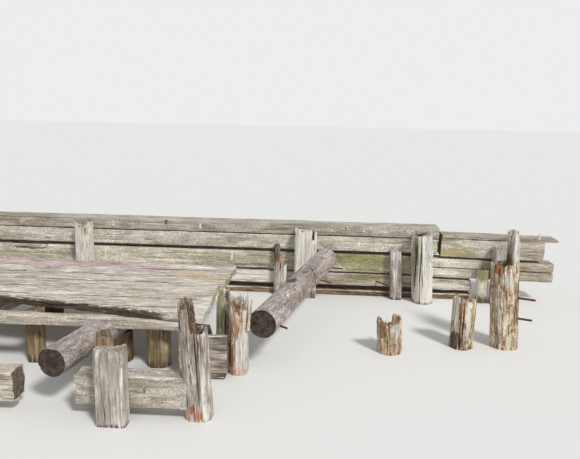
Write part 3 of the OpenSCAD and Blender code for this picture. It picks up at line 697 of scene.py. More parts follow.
def cracks_in(g, width, scale):
    """Drying cracks: thin lines where stretched noise crosses its middle."""
    wide = g.noise(1.1 * scale, 26.0 * scale, 3.0, 0.5, 0.3)
    narrow = g.noise(2.6 * scale, 80.0 * scale, 2.0, 0.5, 0.2)
    gate = g.span(g.noise(2.0, 7.0, 2.0), 0.42, 0.60)
    deep = g.span(g.math("ABSOLUTE", g.minus(wide, 0.5)), 0.0, width, 1.0, 0.0)
    hair = g.span(g.math("ABSOLUTE", g.minus(narrow, 0.5)), 0.0, 0.04, 0.45, 0.0)
    return g.math("MAXIMUM", g.times(deep, gate), hair)


def knots_in(g):
    """A few round knots, in one cell of the grain out of five."""
    cell = g.add("ShaderNodeTexVoronoi", {"Vector": g.stretch(2.1, 8.0), "Scale": 1.0}, feature="F1")
    pick = g.add("ShaderNodeSeparateColor", {0: cell.outputs["Color"]})
    return g.times(g.span(cell.outputs["Distance"], 0.08, 0.17, 1.0, 0.0), g.span(pick.outputs[0], 0.80, 0.84))


def end_tone_in(g):
    """Year rings round the heart, pores and soft blotches of a cut end."""
    flat = g.add("ShaderNodeSeparateXYZ", {0: g.grain})
    across = [g.minus(side, g.math("ROUND", side)) for side in flat.outputs[1:3]]
    radius = g.math("SQRT", g.plus(g.times(across[0], across[0]), g.times(across[1], across[1])))
    wobble = g.times(g.noise(0.5, 12.0, 2.0), 0.05)
    rings = g.math("SINE", g.times(g.plus(radius, wobble), 520.0))
    pores = g.noise(4.0, 90.0, 3.0, 0.7)
    blotch = g.noise(3.0, 22.0, 3.0, 0.6)
    return g.plus(g.plus(g.times(rings, 0.07), g.times(pores, 0.5)), g.times(blotch, 0.5))


def wood(name, light, dark, streak, run, cracks, width=0.035, scale=1.0, speckle=0.10, end_light=(150, 136, 118),
         end_dark=(84, 72, 60), bump=0.006, dashes=0.25, stripes=None, stain=(226, 160, 138)):
    """Weathered wood: streaks along the grain, drying cracks, knots, end grain, and the painted masks."""
    g = grained(name)
    broad = g.noise(0.9, 5.0, 3.0)
    patch = g.noise(4.5, 12.0, 3.0, 0.6)
    lines = g.noise(run, 60.0, 4.0, 0.62)
    fine = g.noise(5.0 * run, 300.0, 2.0, 0.6)
    grit = g.noise(60.0, 60.0, 3.0, 0.7)
    streaks = g.noise(4.0, 44.0, 4.0, 0.7)
    dash = g.noise(5.0, 70.0, 3.0, 0.6, 0.3)

    mixed = g.plus(broad, g.times(g.minus(patch, 0.5), 0.7))
    colour = g.mix(g.span(mixed, 0.36, 0.64), rgb(*dark), rgb(*light))
    if stripes:
        share, stretched, bands = stripes
        colour = g.mix(share, colour, g.ramp(g.noise(*stretched, 4.0, 0.68, 0.6), bands))
    tone = g.span(lines, 0.32, 0.68, 1.0 - 0.42 * streak, 1.0 + 0.30 * streak)
    for lighter in (g.span(fine, 0.25, 0.75, 0.93, 1.06), g.span(grit, 0.3, 0.7, 1.0 - speckle, 1.0 + speckle),
                    g.span(dash, 0.36, 0.43, 1.0 - dashes, 1.0), g.span(dash, 0.58, 0.64, 1.0, 1.0 + 0.6 * dashes)):
        tone = g.times(tone, lighter)
    shade = g.add("ShaderNodeCombineColor", {0: tone, 1: tone, 2: tone})
    colour = g.mix(1.0, colour, shade.outputs[0], "MULTIPLY")
    splits = cracks_in(g, width, scale)
    colour = g.mix(g.times(knots_in(g), 0.5), colour, KNOT)
    colour = g.mix(g.times(splits, cracks), colour, CRACK)

    end = g.span(g.plus(g.attribute("end"), g.times(g.minus(patch, 0.5), 0.5)), 0.35, 0.75)
    end_tone = end_tone_in(g)
    colour = g.mix(end, colour, g.mix(g.span(end_tone, 0.38, 0.66), rgb(*end_dark), rgb(*end_light)))

    def layer(mask, strength, tint, amount, noise=streaks):
        """Lays a tint where a mask is painted, broken by a noise."""
        nonlocal colour
        hit = broken(g, g.attribute(mask), noise, amount)
        colour = g.mix(g.times(hit, strength), colour, tint)
        return hit

    rot_tone = g.span(g.noise(5.0, 75.0, 4.0, 0.7), 0.34, 0.66)
    rot = layer("rot", 0.92, g.ramp(rot_tone, ROT_BANDS), 4.0)
    layer("rust", 0.9, g.ramp(rot_tone, RUST_BANDS), 3.0)
    layer("pale", g.minus(1.0, g.times(splits, 0.7)), g.mix(g.span(lines, 0.35, 0.65), CREAM, WHITE), 4.0,
          g.noise(6.0, 60.0, 4.0, 0.75))
    moss_grain = g.noise(12.0, 30.0, 4.0, 0.7)
    moss = layer("moss", 0.7, g.mix(g.span(moss_grain, 0.35, 0.68), MOSS_DARK, MOSS_LIGHT), 2.6, moss_grain)
    # Paint stains on the deck, and white drips down the wall
    layer("pink", 0.6, rgb(*stain), 5.0)
    layer("ochre", 0.45, OCHRE, 3.5)
    layer("drip", 0.85, WHITE, 5.0, g.noise(34.0, 9.0, 3.0, 0.7))
    # Dark stains and damp wood, with painted shade in joints, gaps, hollows and shaded sides
    layer("dark", 0.82, DARK_STAIN_AND_SHADE, 3.0)
    colour = g.mix(g.attribute("wet"), colour, DAMP_AND_SHADE_TINT, "MULTIPLY")

    relief = g.minus(g.plus(g.times(lines, 0.55), g.times(fine, 0.18)), g.times(splits, 0.75))
    for hit, swell in ((moss, moss_grain), (end, end_tone), (rot, rot_tone)):
        relief = g.plus(relief, g.times(g.times(hit, swell), 0.8))
    return g.surface({
        "Base Color": colour, "Roughness": g.span(lines, 0.2, 0.8, 0.78, 0.95), "Specular IOR Level": 0.25,
        "Normal": g.bump(relief, bump)})


def iron(name):
    """Old rusty iron."""
    g = grained(name)
    blotch = g.noise(30.0, 60.0, 4.0, 0.65)
    speck = g.noise(160.0, 220.0, 3.0, 0.6)
    return g.surface({
        "Base Color": g.mix(g.times(speck, 0.4), g.ramp(blotch, IRON_BANDS), rgb(60, 36, 30)), "Metallic": 0.25,
        "Roughness": g.span(blotch, 0.2, 0.8, 0.65, 0.92), "Normal": g.bump(speck, 0.002)})


CAP = wood("weathered_timber", (204, 196, 184), (166, 157, 142), 0.28, 6.0, 0.35, speckle=0.34)
UPPER = wood("upper_timber", (228, 220, 207), (194, 185, 170), 0.28, 6.0, 0.35, speckle=0.32)
LOWER = wood("bleached_timber", (238, 230, 217), (200, 191, 176), 0.38, 4.5, 0.45, speckle=0.28)
GREEN = wood("mossy_timber", (236, 229, 212), (194, 187, 164), 0.30, 5.0, 0.38, speckle=0.32)
DECK = wood("deck_timber", (238, 229, 218), (200, 188, 176), 0.80, 4.0, 0.6, width=0.040, speckle=0.22, bump=0.008,
            end_light=(226, 212, 186), end_dark=(160, 138, 108), dashes=0.35, stripes=DECK_STRIPES,
            stain=(236, 158, 196))
LOG = wood("log_wood", (202, 192, 185), (150, 139, 132), 0.12, 9.0, 0.30, width=0.026, speckle=0.36, bump=0.005,
           end_light=(108, 95, 84), end_dark=(46, 39, 34), dashes=0.20, stripes=LOG_STRIPES)
POST = wood("bleached_post", (252, 249, 243), (238, 232, 220), 0.38, 3.0, 0.5, width=0.045, scale=1.1, bump=0.008,
            end_light=(214, 205, 188), end_dark=(140, 126, 104), dashes=0.16)
OLD_POST = wood("grey_post", (216, 209, 200), (178, 170, 160), 0.5, 3.0, 0.5, width=0.040, speckle=0.12,
                end_light=(196, 188, 172), end_dark=(150, 140, 122))
ROTTEN = wood("rotten_wood", (246, 236, 214), (206, 188, 160), 0.6, 5.0, 0.55, width=0.050, scale=1.2, speckle=0.22,
              end_light=(214, 192, 160), end_dark=(140, 108, 84), bump=0.010, dashes=0.35, stripes=ROTTEN_STRIPES)
WEATHERED = wood("old_pile", (234, 224, 208), (190, 178, 162), 0.7, 4.0, 0.6, width=0.050, scale=1.2, speckle=0.14,
                 end_light=(190, 170, 146), end_dark=(100, 80, 64), bump=0.010, dashes=0.3, stripes=OLD_STRIPES)
WET = wood("wet_timber", (158, 134, 108), (96, 78, 60), 0.7, 3.0, 0.5, width=0.045, speckle=0.12,
           end_light=(120, 100, 78), end_dark=(64, 52, 40))
BLOCK = wood("block_timber", (192, 181, 168), (132, 122, 111), 0.9, 6.0, 0.6, speckle=0.16)
BROWN = wood("brown_timber", (206, 184, 150), (146, 124, 96), 0.8, 3.0, 0.6)
IRON = iron("rusty_iron")


# Wall and right section

# White drips down the wall: X, height and half height
DRIPS = ((-2.64, 0.90, 0.07), (-1.43, 0.90, 0.05), (-1.27, 0.88, 0.06), (-0.57, 0.90, 0.04), (0.33, 0.88, 0.05),
         (0.75, 0.90, 0.04), (1.40, 0.90, 0.06), (-2.64, 0.74, 0.09), (-1.57, 0.70, 0.08), (-0.30, 0.71, 0.05),
         (0.70, 0.72, 0.06), (0.98, 0.70, 0.07), (-2.75, 0.45, 0.11), (-1.00, 0.50, 0.09), (-1.20, 0.42, 0.05))
# The wall's front face, as marks lie on it
WALL = (FACE_Y, 0.1)


def drips(low, high):
    """Marks of the drips between two heights."""
    return [(x, z, 0.020, half, 0.8) for x, z, half in DRIPS if low < z < high]


def box_timber(node, material, seed, paint, joint_shade=0.0, **form):
    """Squared timber that stands for a level CAD timber along X, as long, deep and high as it."""
    lo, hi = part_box(node)
    size = hi - lo
    if joint_shade:
        paint = joint_shaded(paint, lo.z, joint_shade)
    skin = timber(size.x, size.y, size.z, seed, **form)
    dress(node, [place(skin, Matrix.Translation(lo))], material, seed, paint)


def build_wall():
    box_timber("wall_cap", CAP, 1, marked(
        WALL, dark=[(-1.898, 0.945, 0.035, 0.03, 1.0)], drip=drips(0.8, 1.0),
        pale=[((-0.57, FACE_Y + 0.05, 0.95), (0.10, 0.1, 0.03), 0.5), (-3.9, 0.90, 0.10, 0.05, 0.5)],
        moss=[((1.5, 0.25, 0.96), (0.3, 0.3, 0.03), 0.35)]), 0.5, wear=0.006, corner=0.005, ragged=(0.0, 0.004))
    box_timber("wall_upper_beam", UPPER, 2, marked(WALL, drip=drips(0.6, 0.8), moss=[(0.1, 0.66, 0.5, 0.10, 0.2)]), 0.9,
               wear=0.007, corner=0.006)
    box_timber("wall_middle_beam", GREEN, 3, marked(
        WALL, moss=[(0.72, 0.52, 0.55, 0.15, 0.85), (0.75, 0.42, 0.5, 0.14, 0.6), (-1.3, 0.52, 0.5, 0.06, 0.4),
                    (-2.7, 0.48, 0.35, 0.09, 0.4), (-0.7, 0.54, 0.3, 0.05, 0.4)],
        drip=drips(0.0, 0.6), pale=[(-0.72, 0.35, 0.36, 0.035, 0.9)], wet=[(0.8, 0.45, 0.8, 0.2, 0.15)],
        rot=[((-3.85, FACE_Y, 0.53), (0.30, 0.2, 0.04), 0.5)],
        dark=[((-3.95, FACE_Y, 0.52), (0.16, 0.2, 0.05), 0.5)]), 0.9, wear=0.008, corner=0.006,
        dents=[(4.0, 0.025, 0.30, 0.05, 0.035), (0.86, 0.23, 0.24, 0.06, 0.04)])
    box_timber("wall_lower_beam", LOWER, 4, marked(
        WALL, pale=[(-0.95, 0.23, 0.50, 0.12, 1.0), (-0.5, 0.23, 0.50, 0.12, 1.0), (0.75, 0.16, 0.5, 0.03, 0.7)],
        # The broad damp mark right of the middle post is partly painted shade
        moss=[(0.8, 0.26, 0.6, 0.06, 0.65)], wet=[(0.9, 0.22, 0.9, 0.25, 0.95)],
        dark=[(0.10, 0.2, 0.1, 0.15, 0.4)]), 0.9, corner=0.006, ragged=(0.0, 0.04))
    # Painted highlight: a pale line along the lit top front edge of the foot beam
    box_timber("wall_foot_beam", WET, 5, lambda points: {
        "pale": 0.8 * smooth(0.056, 0.068, points[:, 2]) * (1.0 - smooth(0.11, 0.13, points[:, 1]))},
        wear=0.006, corner=0.006)


def sloped(node, x, z, length, depth, height, material, seed, paint, back=0.0, **form):
    """Timber of the right wall section, which has sunk about its upper left corner."""
    skin = timber(length, depth, height, seed, **form)
    turn = Matrix.Translation((RIGHT_START_X, 0, 0)) @ Matrix.Rotation(SAG, 4, "Y")
    place(skin, turn @ Matrix.Translation((x - RIGHT_START_X, FACE_Y + back, z)))
    dress(node, [skin], material, seed, paint)


def build_right_section():
    worn = [((2.95, FACE_Y, 0.5), (0.9, 0.3, 0.5), 0.85)]
    sloped("right_upper_beam", 1.774, 0.582, 1.346, 0.302, 0.252, UPPER, 6, marked(
        # The dark line along the top of the beam is a painted shadow under the cap plank
        (FACE_Y, 0.2), dark=[((2.4, FACE_Y, 0.824), (0.8, 0.05, 0.018), 0.9)],
        wet=[((3.0, FACE_Y, 0.7), (0.5, 0.3, 0.3), 0.4)],
        moss=[(2.0, 0.64, 0.55, 0.12, 0.6), (1.9, 0.80, 0.35, 0.10, 0.55)],
        ochre=[(1.95, 0.64, 0.45, 0.10, 0.5)]), 0.008, ragged=(0.0, 0.02), corner=0.004, wear=0.004)
    sloped("right_cap_plank", RIGHT_START_X, 0.834, 1.495, 0.31, 0.038, CAP, 7, marked(
        (FACE_Y, 0.3), wet=[(3.0, 0.85, 0.6, 0.3, 0.4)],
        moss=[((2.7, 0.2, 0.87), (0.5, 0.3, 0.08), 0.4), (1.90, 0.86, 0.25, 0.05, 0.5)]),
        ragged=(0.0, 0.012), corner=0.006, wear=0.006)
    sloped("right_middle_plank", RIGHT_TUCKED_X, 0.432, 1.701, RIGHT_DEPTH, 0.120, LOWER, 8, marked(wet=worn),
           ragged=(0.02, 0.015))
    sloped("right_lower_plank", RIGHT_TUCKED_X, 0.294, 1.697, RIGHT_DEPTH, 0.130, LOWER, 9,
           marked(WALL, wet=worn, pale=[(1.9, 0.37, 0.3, 0.05, 0.6)]), ragged=(0.02, 0.015))
    sloped("right_bottom_beam", RIGHT_TUCKED_X, 0.120, 0.671, RIGHT_DEPTH, 0.150, LOWER, 10, marked(
        WALL, wet=[((1.9, FACE_Y, 0.2), (0.6, 0.3, 0.3), 0.3)], pale=[(1.85, 0.19, 0.4, 0.05, 0.9)]),
        wear=0.03, ragged=(0.02, 0.04))


# Posts and stakes at the wall

def knotted(theta, z):
    """Swelling and waist of the corner pile's right side."""
    right = np.maximum(np.cos(theta), 0.0)
    return 1.0 + right * (0.05 * np.exp(-((z - 0.63) / 0.03) ** 2) - 0.20 * np.exp(-((z - 0.54) / 0.05) ** 2)
                          - 0.03 * np.exp(-((z - 0.80) / 0.10) ** 2))


def build_wall_posts():
    for node, x, seed in (("wall_post_far_left", -3 * BAY, 11), ("wall_post_left", -2 * BAY, 12)):
        pile(node, POST, seed, (0.22, 0.18, 0.93), (x, 0.01), marked(
            (-0.08, 0.1), 0.25, rot=[(x + 0.06, 0.80, 0.04, 0.10, 0.6)], pale=[(x - 0.03, 0.75, 0.08, 0.2, 0.6)]),
            more=tuft(10, (x, 0.01, 0.84), (0.07, 0.05, 0.03), 0.08, 0.014, seed),
            square=5.0, drop=0.13, staves=7, cols=100, groove=0.016)
    pile("wall_post_stub", WET, 13, (0.24, 0.22, 0.38), (-BAY, -0.01), marked(foot=0.3), square=5.0, drop=0.06,
         staves=6, cols=84)

    # Squared post with a slot down its head: the tongue beyond the slot, and the full flank under it
    tongue = pole(0.036, 0.19, 0.905, 15, square=5.0, drop=0.03, staves=4, cols=40, grooves=2, groove=0.004)
    flank = pole(0.09, 0.195, 0.79, 16, square=6.0, drop=0.01, staves=3, cols=48, grooves=2)
    pile("wall_post_middle", POST, 14, (0.23, 0.20, 0.93), (-0.03, 0.0), marked(
        (-0.1, 0.1), 0.3, pale=[((-0.03, -0.1, 0.82), (0.22, 0.2, 0.26), 1.0), (0.0, 0.55, 0.1, 0.15, 0.5)],
        moss=[(-0.135, 0.84, 0.02, 0.10, 0.5)], rot=[(0.12, 0.7, 0.04, 0.10, 0.5)]),
        more=[stand(tongue, 0.127, 0.002), stand(flank, 0.10, 0.002)],
        square=6.0, drop=0.045, staves=8, groove=0.012, ribs=0.003)
    pile("wall_post_right", OLD_POST, 17, (0.25, 0.20, 0.79), (2.565, 0.0), marked(foot=0.3), square=5.0, drop=0.07,
         staves=6, cols=84)
    pile("corner_pile", POST, 18, (0.27, 0.36, 0.94), (1.555, -0.01), marked(
        (-0.15, 0.2), 0.10, pale=[(1.60, 0.75, 0.09, 0.55, 1.0), (1.63, 0.3, 0.08, 0.5, 1.0)],
        # Painted shade down the pile's left side, dark lines in its grooves, and painted shade under the swelling at
        # its waist
        moss=[(1.42, 0.60, 0.07, 0.50, 0.75)], wet=[((1.42, -0.13, 0.45), (0.10, 0.2, 0.80), 0.4)],
        dark=[((1.485, -0.16, 0.60), (0.014, 0.2, 0.50), 0.9), ((1.43, -0.12, 0.50), (0.012, 0.2, 0.60), 0.9),
              ((1.62, -0.16, 0.56), (0.05, 0.2, 0.025), 0.8)],
        rot=[((1.48, -0.1, 0.93), (0.12, 0.2, 0.05), 0.8), ((1.52, -0.17, 0.3), (0.02, 0.1, 0.3), 0.4)]),
        lean=-3.0, back=HEWN_Y, more=tuft(46, (1.49, -0.03, 0.91), (0.09, 0.11, 0.02), 0.06, 0.007, 19, sway=0.9),
        square=2.4, drop=0.05, staves=10, groove=0.024, grooves=12, ribs=0.008, cols=140, bulge=knotted)


def build_stakes():
    blade = pole(0.135, 0.10, 0.50, 21, square=3.0, drop=0.13, staves=5, cols=64, grooves=5, hollow=0.05)
    fibres = tuft(6, (-0.29, 0.03, 0.44), (0.03, 0.02, 0.02), 0.06, 0.014, 22)
    pile("thin_stake", WEATHERED, 20, (0.08, 0.10, 0.70), (-0.38, 0.045), marked(
        (0.0, 0.1), 0.2, rot=[(-0.37, 0.56, 0.05, 0.16, 0.8)], wet=[(-0.39, 0.62, 0.05, 0.3, 1.0)],
        pale=[(-0.27, 0.34, 0.035, 0.20, 1.0), (-0.33, 0.25, 0.06, 0.15, 0.5)], dark=[(-0.41, 0.62, 0.015, 0.2, 0.8)]),
        more=[stand(blade, -0.3125, 0.045), *fibres], square=4.0, drop=0.05, staves=4, cols=56, grooves=4, hollow=0.03)
    pile("leaning_stake", WEATHERED, 23, (0.155, 0.13, 0.69), (1.215, 0.034), marked(
        (-0.03, 0.1), 0.1, pale=[((1.18, -0.03, 0.63), (0.09, 0.2, 0.14), 1.0), (1.18, 0.40, 0.05, 0.30, 0.8)],
        rust=[(1.26, 0.42, 0.018, 0.20, 0.5)]), lean=-2.5, back=HEWN_Y, slot="bleached_post",
        square=3.5, staves=6, cols=84, grooves=6, groove=0.014, ribs=0.005, hollow=0.05)
    pile("mossy_stake", GREEN, 24, (0.155, 0.155, 0.45), (2.335, 0.036), marked(
        (0.0, 0.12), 0.25, moss=[(2.335, 0.40, 0.12, 0.16, 0.9)]), back=HEWN_Y,
        drop=0.02, staves=4, cols=72, grooves=3, hollow=0.0, head_rows=8)


# Deck

PLANKS, DECK_FAR, DECK_NEAR, PLANK_STEP, PLANK_WIDTH, PLANK_T = 7, 0.89, 2.76, 0.268, 0.262, 0.07
# The front edge's rot: where it starts, how fast it eats in to the left, and how deep it gets
ROT_START_X, ROT_SLANT, ROT_DEPTH = -0.90, math.tan(math.radians(10.5)), 0.38


def rot_line(x):
    """Distance from the wall at which the deck ends at x, its front edge rotted away to the left."""
    bite = 0.035 * fbm(column(x * 5.0, 0.0, 0.0), 71, 3)
    return DECK_NEAR - np.minimum(ROT_DEPTH, np.maximum(0.0, ROT_START_X - x) * ROT_SLANT) - bite


def deck_plank(index):
    """One board of the deck, its front edge cut by the rot line."""
    node = f"deck_plank_{index + 1}"
    lo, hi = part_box(node)
    d = DECK_FAR + index * PLANK_STEP

    def shape(rings):
        x = rings[..., 0] + lo.x
        far = d + 0.006 * fbm(column(x * 3.0, 0.0, 0.0), 80 + index)
        near = d + PLANK_WIDTH - 0.008 * fbm(column(x * 6.0, 0.0, 0.0), 90 + index)
        near = np.maximum(np.minimum(near, rot_line(x)), far + 0.012)
        y = near + (far - near) * (rings[..., 1] / PLANK_WIDTH)
        thin = 1.0 - smooth(0.0, 0.12, rot_line(x) - y)
        lost = 0.022 * thin * (rings[..., 2] > 0.03) * noise(column(x * 20.0, y * 40.0, 0.0), 5)
        return column(rings[..., 0], -y, rings[..., 2] - lost)

    skin = timber(hi.x - lo.x, PLANK_WIDTH, PLANK_T, 100 + index, step=0.028, across=0.0125, corner=0.008, rough=0.006,
                  wear=0.012, ragged=(0.0, 0.045), checks=9, shape=shape)
    place(skin, Matrix.Translation((lo.x, FACE_Y, DECK_Z - PLANK_T)))
    dress(node, [skin], DECK, 30 + index, paint_deck)


def paint_deck(points):
    """Stains, pale and rotten places of the boards, and painted shade under the rotted front edge; a patch is X, Y,
    half width, half depth and strength.
    """
    def patches(*marks):
        return spots(points, [((x, y, DECK_Z), (wide, deep, 0.2), strength) for x, y, wide, deep, strength in marks])

    x, d = points[:, 0], FACE_Y - points[:, 1]
    inside = rot_line(x) - d
    left = 1.0 - smooth(-1.4, -1.1, x)
    near_rot = (1.0 - smooth(0.01, 0.09, inside)) * left
    # Painted shadow: the face under the rotted front edge, darkened as the gap beneath it
    under = near_rot * (points[:, 2] < DECK_Z - 0.010)
    far_edge = (1.0 - smooth(0.14, 0.38, d - DECK_FAR)) * (1.0 - smooth(-1.9, -1.2, x))
    patchy = smooth(0.42, 0.60, fbm(column(x * 2.6, d * 28.0, 0.0), 77, 3))
    return {
        "pink": far_edge * (0.20 + 0.62 * patchy),
        "ochre": (0.35 + 0.65 * patchy) * patches(
            (-1.28, -1.15, 0.34, 0.25, 0.95), (-1.05, -1.46, 0.44, 0.35, 0.95), (-0.95, -1.9, 0.44, 0.35, 0.7),
            (-2.0, -2.2, 0.9, 0.15, 0.6)),
        "rot": 0.30 * near_rot,
        "pale": patches((-1.3, -0.92, 0.40, 0.12, 0.9), (-0.9, -2.35, 0.25, 0.5, 0.7), (-1.8, -1.2, 0.6, 0.2, 0.4),
                        (-1.1, -1.7, 0.5, 0.5, 0.5)),
        "drip": patches((-1.2, -1.5, 0.8, 0.9, 0.24), (-2.6, -1.3, 1.2, 0.9, 0.24)),
        # Painted shade under the rotted edge; the band on top is darker towards the rotted edge
        "wet": under,
        "dark": under + 0.32 * (1.0 - smooth(0.0, 0.4, inside)) * left,
    }


def build_deck():
    for index in range(PLANKS):
        deck_plank(index)
    box_timber("deck_front_beam", UPPER, 40, marked(
        (-2.65, 0.2), pale=[(-1.1, 0.5, 0.3, 0.05, 0.5)], moss=[(-1.9, 0.47, 0.9, 0.08, 0.35)],
        wet=[(-1.9, 0.48, 1.4, 0.2, 0.4)]), wear=0.018, ragged=(0.0, 0.06), checks=9)


# Logs

# Bearer logs: radius, height of the axis, flat over the axis, distance of the far end, and the notch in the top
LOG_R, LOG_Z, LOG_FLAT, LOG_FAR = 0.13, 0.415, 0.112, 0.93
NOTCH_FRONT, NOTCH_BACK, NOTCH_Z = -2.605, -2.455, 0.428
# Loose log: radius, and the middles of its two ends
LOOSE_R = 0.143
LOOSE_NEAR = Vector((-0.3095, FACE_Y - 2.53, 0.475))
LOOSE_FAR = Vector((0.273, FACE_Y - 0.05, 0.520))
# Lines girdled round the loose log: distance from its near end, depth, and tilt
GIRDLES = ((0.95, 0.4, 0.05), (1.64, 1.3, 0.17))


def bearer_x(number, d):
    """X of a bearer log at a distance from the wall."""
    return -number * BAY + (0.235 if number == 1 else 0.225) - math.tan(SKEW) * (d - 0.1)


def bearer_log(number, d1, seed, paint=None):
    """Round log under the deck, its top hewn flat for the planks and let in under the front beam."""
    skin = log((d1 - LOG_FAR) / math.cos(SKEW), LOG_R, seed, flat=LOG_FLAT, knots=9)
    place(skin, Matrix.Translation((bearer_x(number, d1), FACE_Y - d1, LOG_Z)) @ Matrix.Rotation(-SKEW, 4, "Z"))
    x, y, z = skin.rings[..., 0], skin.rings[..., 1], skin.rings[..., 2]
    under_beam = (y > NOTCH_FRONT) & (y < NOTCH_BACK)
    skin.rings = column(x, y, np.where(under_beam, np.minimum(z, NOTCH_Z), z))
    dress(f"bearer_log_{number}", [skin], LOG, seed, paint)


def build_logs():
    run = LOOSE_FAR - LOOSE_NEAR
    skew, rise = math.atan2(run.x, run.y), math.atan2(run.z, math.hypot(run.x, run.y))
    skin = log(run.length, LOOSE_R, 34, cols=120, step=0.012, knots=11, rough=0.004, taper=0.0, girdles=GIRDLES)
    place(skin, Matrix.Translation(LOOSE_NEAR) @ Matrix.Rotation(-skew, 4, "Z") @ Matrix.Rotation(rise, 4, "X"))
    axis = np.array(run.normalized())
    side = np.array(run.cross(Vector((0, 0, 1))).normalized()) / LOOSE_R
    spotted = marked(
        pale=[((-0.105, -1.90, 0.602), (0.025, 0.05, 0.03), 1.0), ((-0.026, -1.635, 0.595), (0.05, 0.020, 0.06), 0.9),
              ((0.04, -1.45, 0.60), (0.02, 0.03, 0.02), 0.9), ((0.03, -0.70, 0.62), (0.09, 0.30, 0.06), 0.45),
              ((0.20, -0.30, 0.62), (0.10, 0.25, 0.06), 0.4)],
        # The last dark mark, low along the log, is painted shade on its underside
        dark=[((-0.107, -1.46, 0.631), (0.060, 0.09, 0.05), 2.0), ((-0.06, -1.42, 0.63), (0.03, 0.05, 0.04), 1.6),
              ((0.0, -1.2, 0.34), (0.25, 1.6, 0.07), 0.6)],
        wet=[((0.0, -1.3, 0.55), (0.30, 1.0, 0.15), 0.45)],
        rust=[((0.023, -1.618, 0.461), (0.03, 0.10, 0.03), 0.7), ((-0.06, -1.95, 0.44), (0.03, 0.06, 0.03), 0.6)])

    def girdled(points):
        out = spotted(points)
        from_end = points - np.array(LOOSE_NEAR)
        for (place_at, _, tilt), (mask, strength) in zip(GIRDLES, (("pale", 0.6), ("dark", 0.95))):
            slip = np.abs(from_end @ axis - place_at + tilt * (from_end @ side))
            out[mask] = np.maximum(out[mask], strength * (1.0 - smooth(0.004, 0.020, slip)))
        return out

    dress("loose_log", [skin], LOG, 34, girdled)
    bearer_log(1, 3.44, 31, marked((-3.3, 0.12), dark=[(-1.9, 0.42, 0.12, 0.10, 0.7)]))
    bearer_log(2, 2.94, 32)
    bearer_log(3, 2.94, 33)
    for row, d, seed in (("bearer_pile", 2.38, 40), ("bearer_back_pile", 1.13, 43)):
        for number in (1, 2, 3):
            pile(f"{row}_{number}", WET, seed + number, (0.215, 0.215, 0.305), (bearer_x(number, d), FACE_Y - d),
                 marked(foot=0.2), cols=72, **SAWN)


# Piles in front

def hollowed(rings):
    """The side block's top behind its front edge, rotted away where the deck doesn't cover it."""
    x, y, z = rings[..., 0], rings[..., 1], rings[..., 2]
    gone = smooth(0.045, 0.065, y) * smooth(0.24, 0.27, x)
    return column(x, y, np.where(z > 0.2, z - 0.16 * gone * smooth(0.2, 0.3, z), z))


def build_torn_pile():
    y = FACE_Y - 2.53
    front = y - 0.12
    torn = tuft(34, (-0.53, y, 0.66), (0.055, 0.08, 0.03), 0.10, 0.014, 51)
    torn += tuft(10, (-0.465, y - 0.07, 0.55), (0.015, 0.015, 0.10), 0.13, 0.012, 52, (0.05, 0.0, 1.0), 0.15)
    splinter = strand((-0.434, y - 0.09, 0.44), (0.15, 0.0, 1.0), 0.31, 0.026, 0.014, 53, 0.06, 9, 6, 0.6)
    make_piece("torn_pile_splinter", [splinter], ROTTEN, 53)
    pile("torn_pile", ROTTEN, 50, (0.175, 0.24, 0.78), (-0.525, y), marked(
        (front, 0.2), rot=[(-0.59, 0.46, 0.03, 0.16, 0.9), (-0.54, 0.45, 0.06, 0.16, 0.6)],
        rust=[((-0.585, front, 0.20), (0.045, 0.1, 0.16), 1.0)],
        pink=[(-0.54, 0.56, 0.08, 0.16, 0.65), ((-0.50, front, 0.04), (0.10, 0.1, 0.07), 0.7)],
        pale=[(-0.475, 0.20, 0.09, 0.30, 1.5), ((-0.52, y, 0.77), (0.16, 0.3, 0.10), 1.0),
              (-0.46, 0.58, 0.025, 0.25, 0.8)]),
        more=torn, square=3.2, drop=0.14, groove=0.016, ribs=0.006, hollow=0.12)


def build_deck_corner():
    pile("mossy_pile", GREEN, 53, (0.16, 0.16, 0.785), (-0.697, -2.27), marked(
        (-2.33, 0.1), 0.3, moss=[((-0.72, -2.33, 0.62), (0.06, 0.12, 0.35), 0.9)],
        dark=[(-0.655, 0.70, 0.03, 0.10, 0.9), (-0.67, 0.45, 0.015, 0.2, 0.8)], rot=[(-0.655, 0.45, 0.03, 0.20, 0.5)]),
        lean=0.6, front=FACE_Y - 2.45, drop=0.05, staves=6, cols=96, grooves=8, groove=0.014, ribs=0.006, hollow=0.02,
        bulge=lambda theta, z: 1.0 - 0.40 * smooth(0.58, 0.79, z))
    upper = timber(0.452, 0.31, 0.37, 54, step=0.018, ragged=(0.02, 0.006), checks=9, shape=hollowed)
    lower = timber(0.43, 0.29, 0.06, 55, step=0.02, ragged=(0.02, 0.02), checks=3)
    place(upper, Matrix.Translation((-1.0525, -2.66, 0.06)))
    place(lower, Matrix.Translation((-1.0525, -2.65, 0.0)))
    dress("side_block", [upper, lower], BLOCK, 54, marked(
        foot=0.06, pale=[((-0.7, -2.66, 0.43), (0.2, 0.03, 0.015), 0.8)],
        # The first dark mark is painted shade in the hollowed top behind the front rim, under the deck
        dark=[((-0.7, -2.45, 0.35), (0.3, 0.17, 0.14), 1.0), ((-0.65, -2.66, 0.05), (0.15, 0.05, 0.04), 0.7)]))


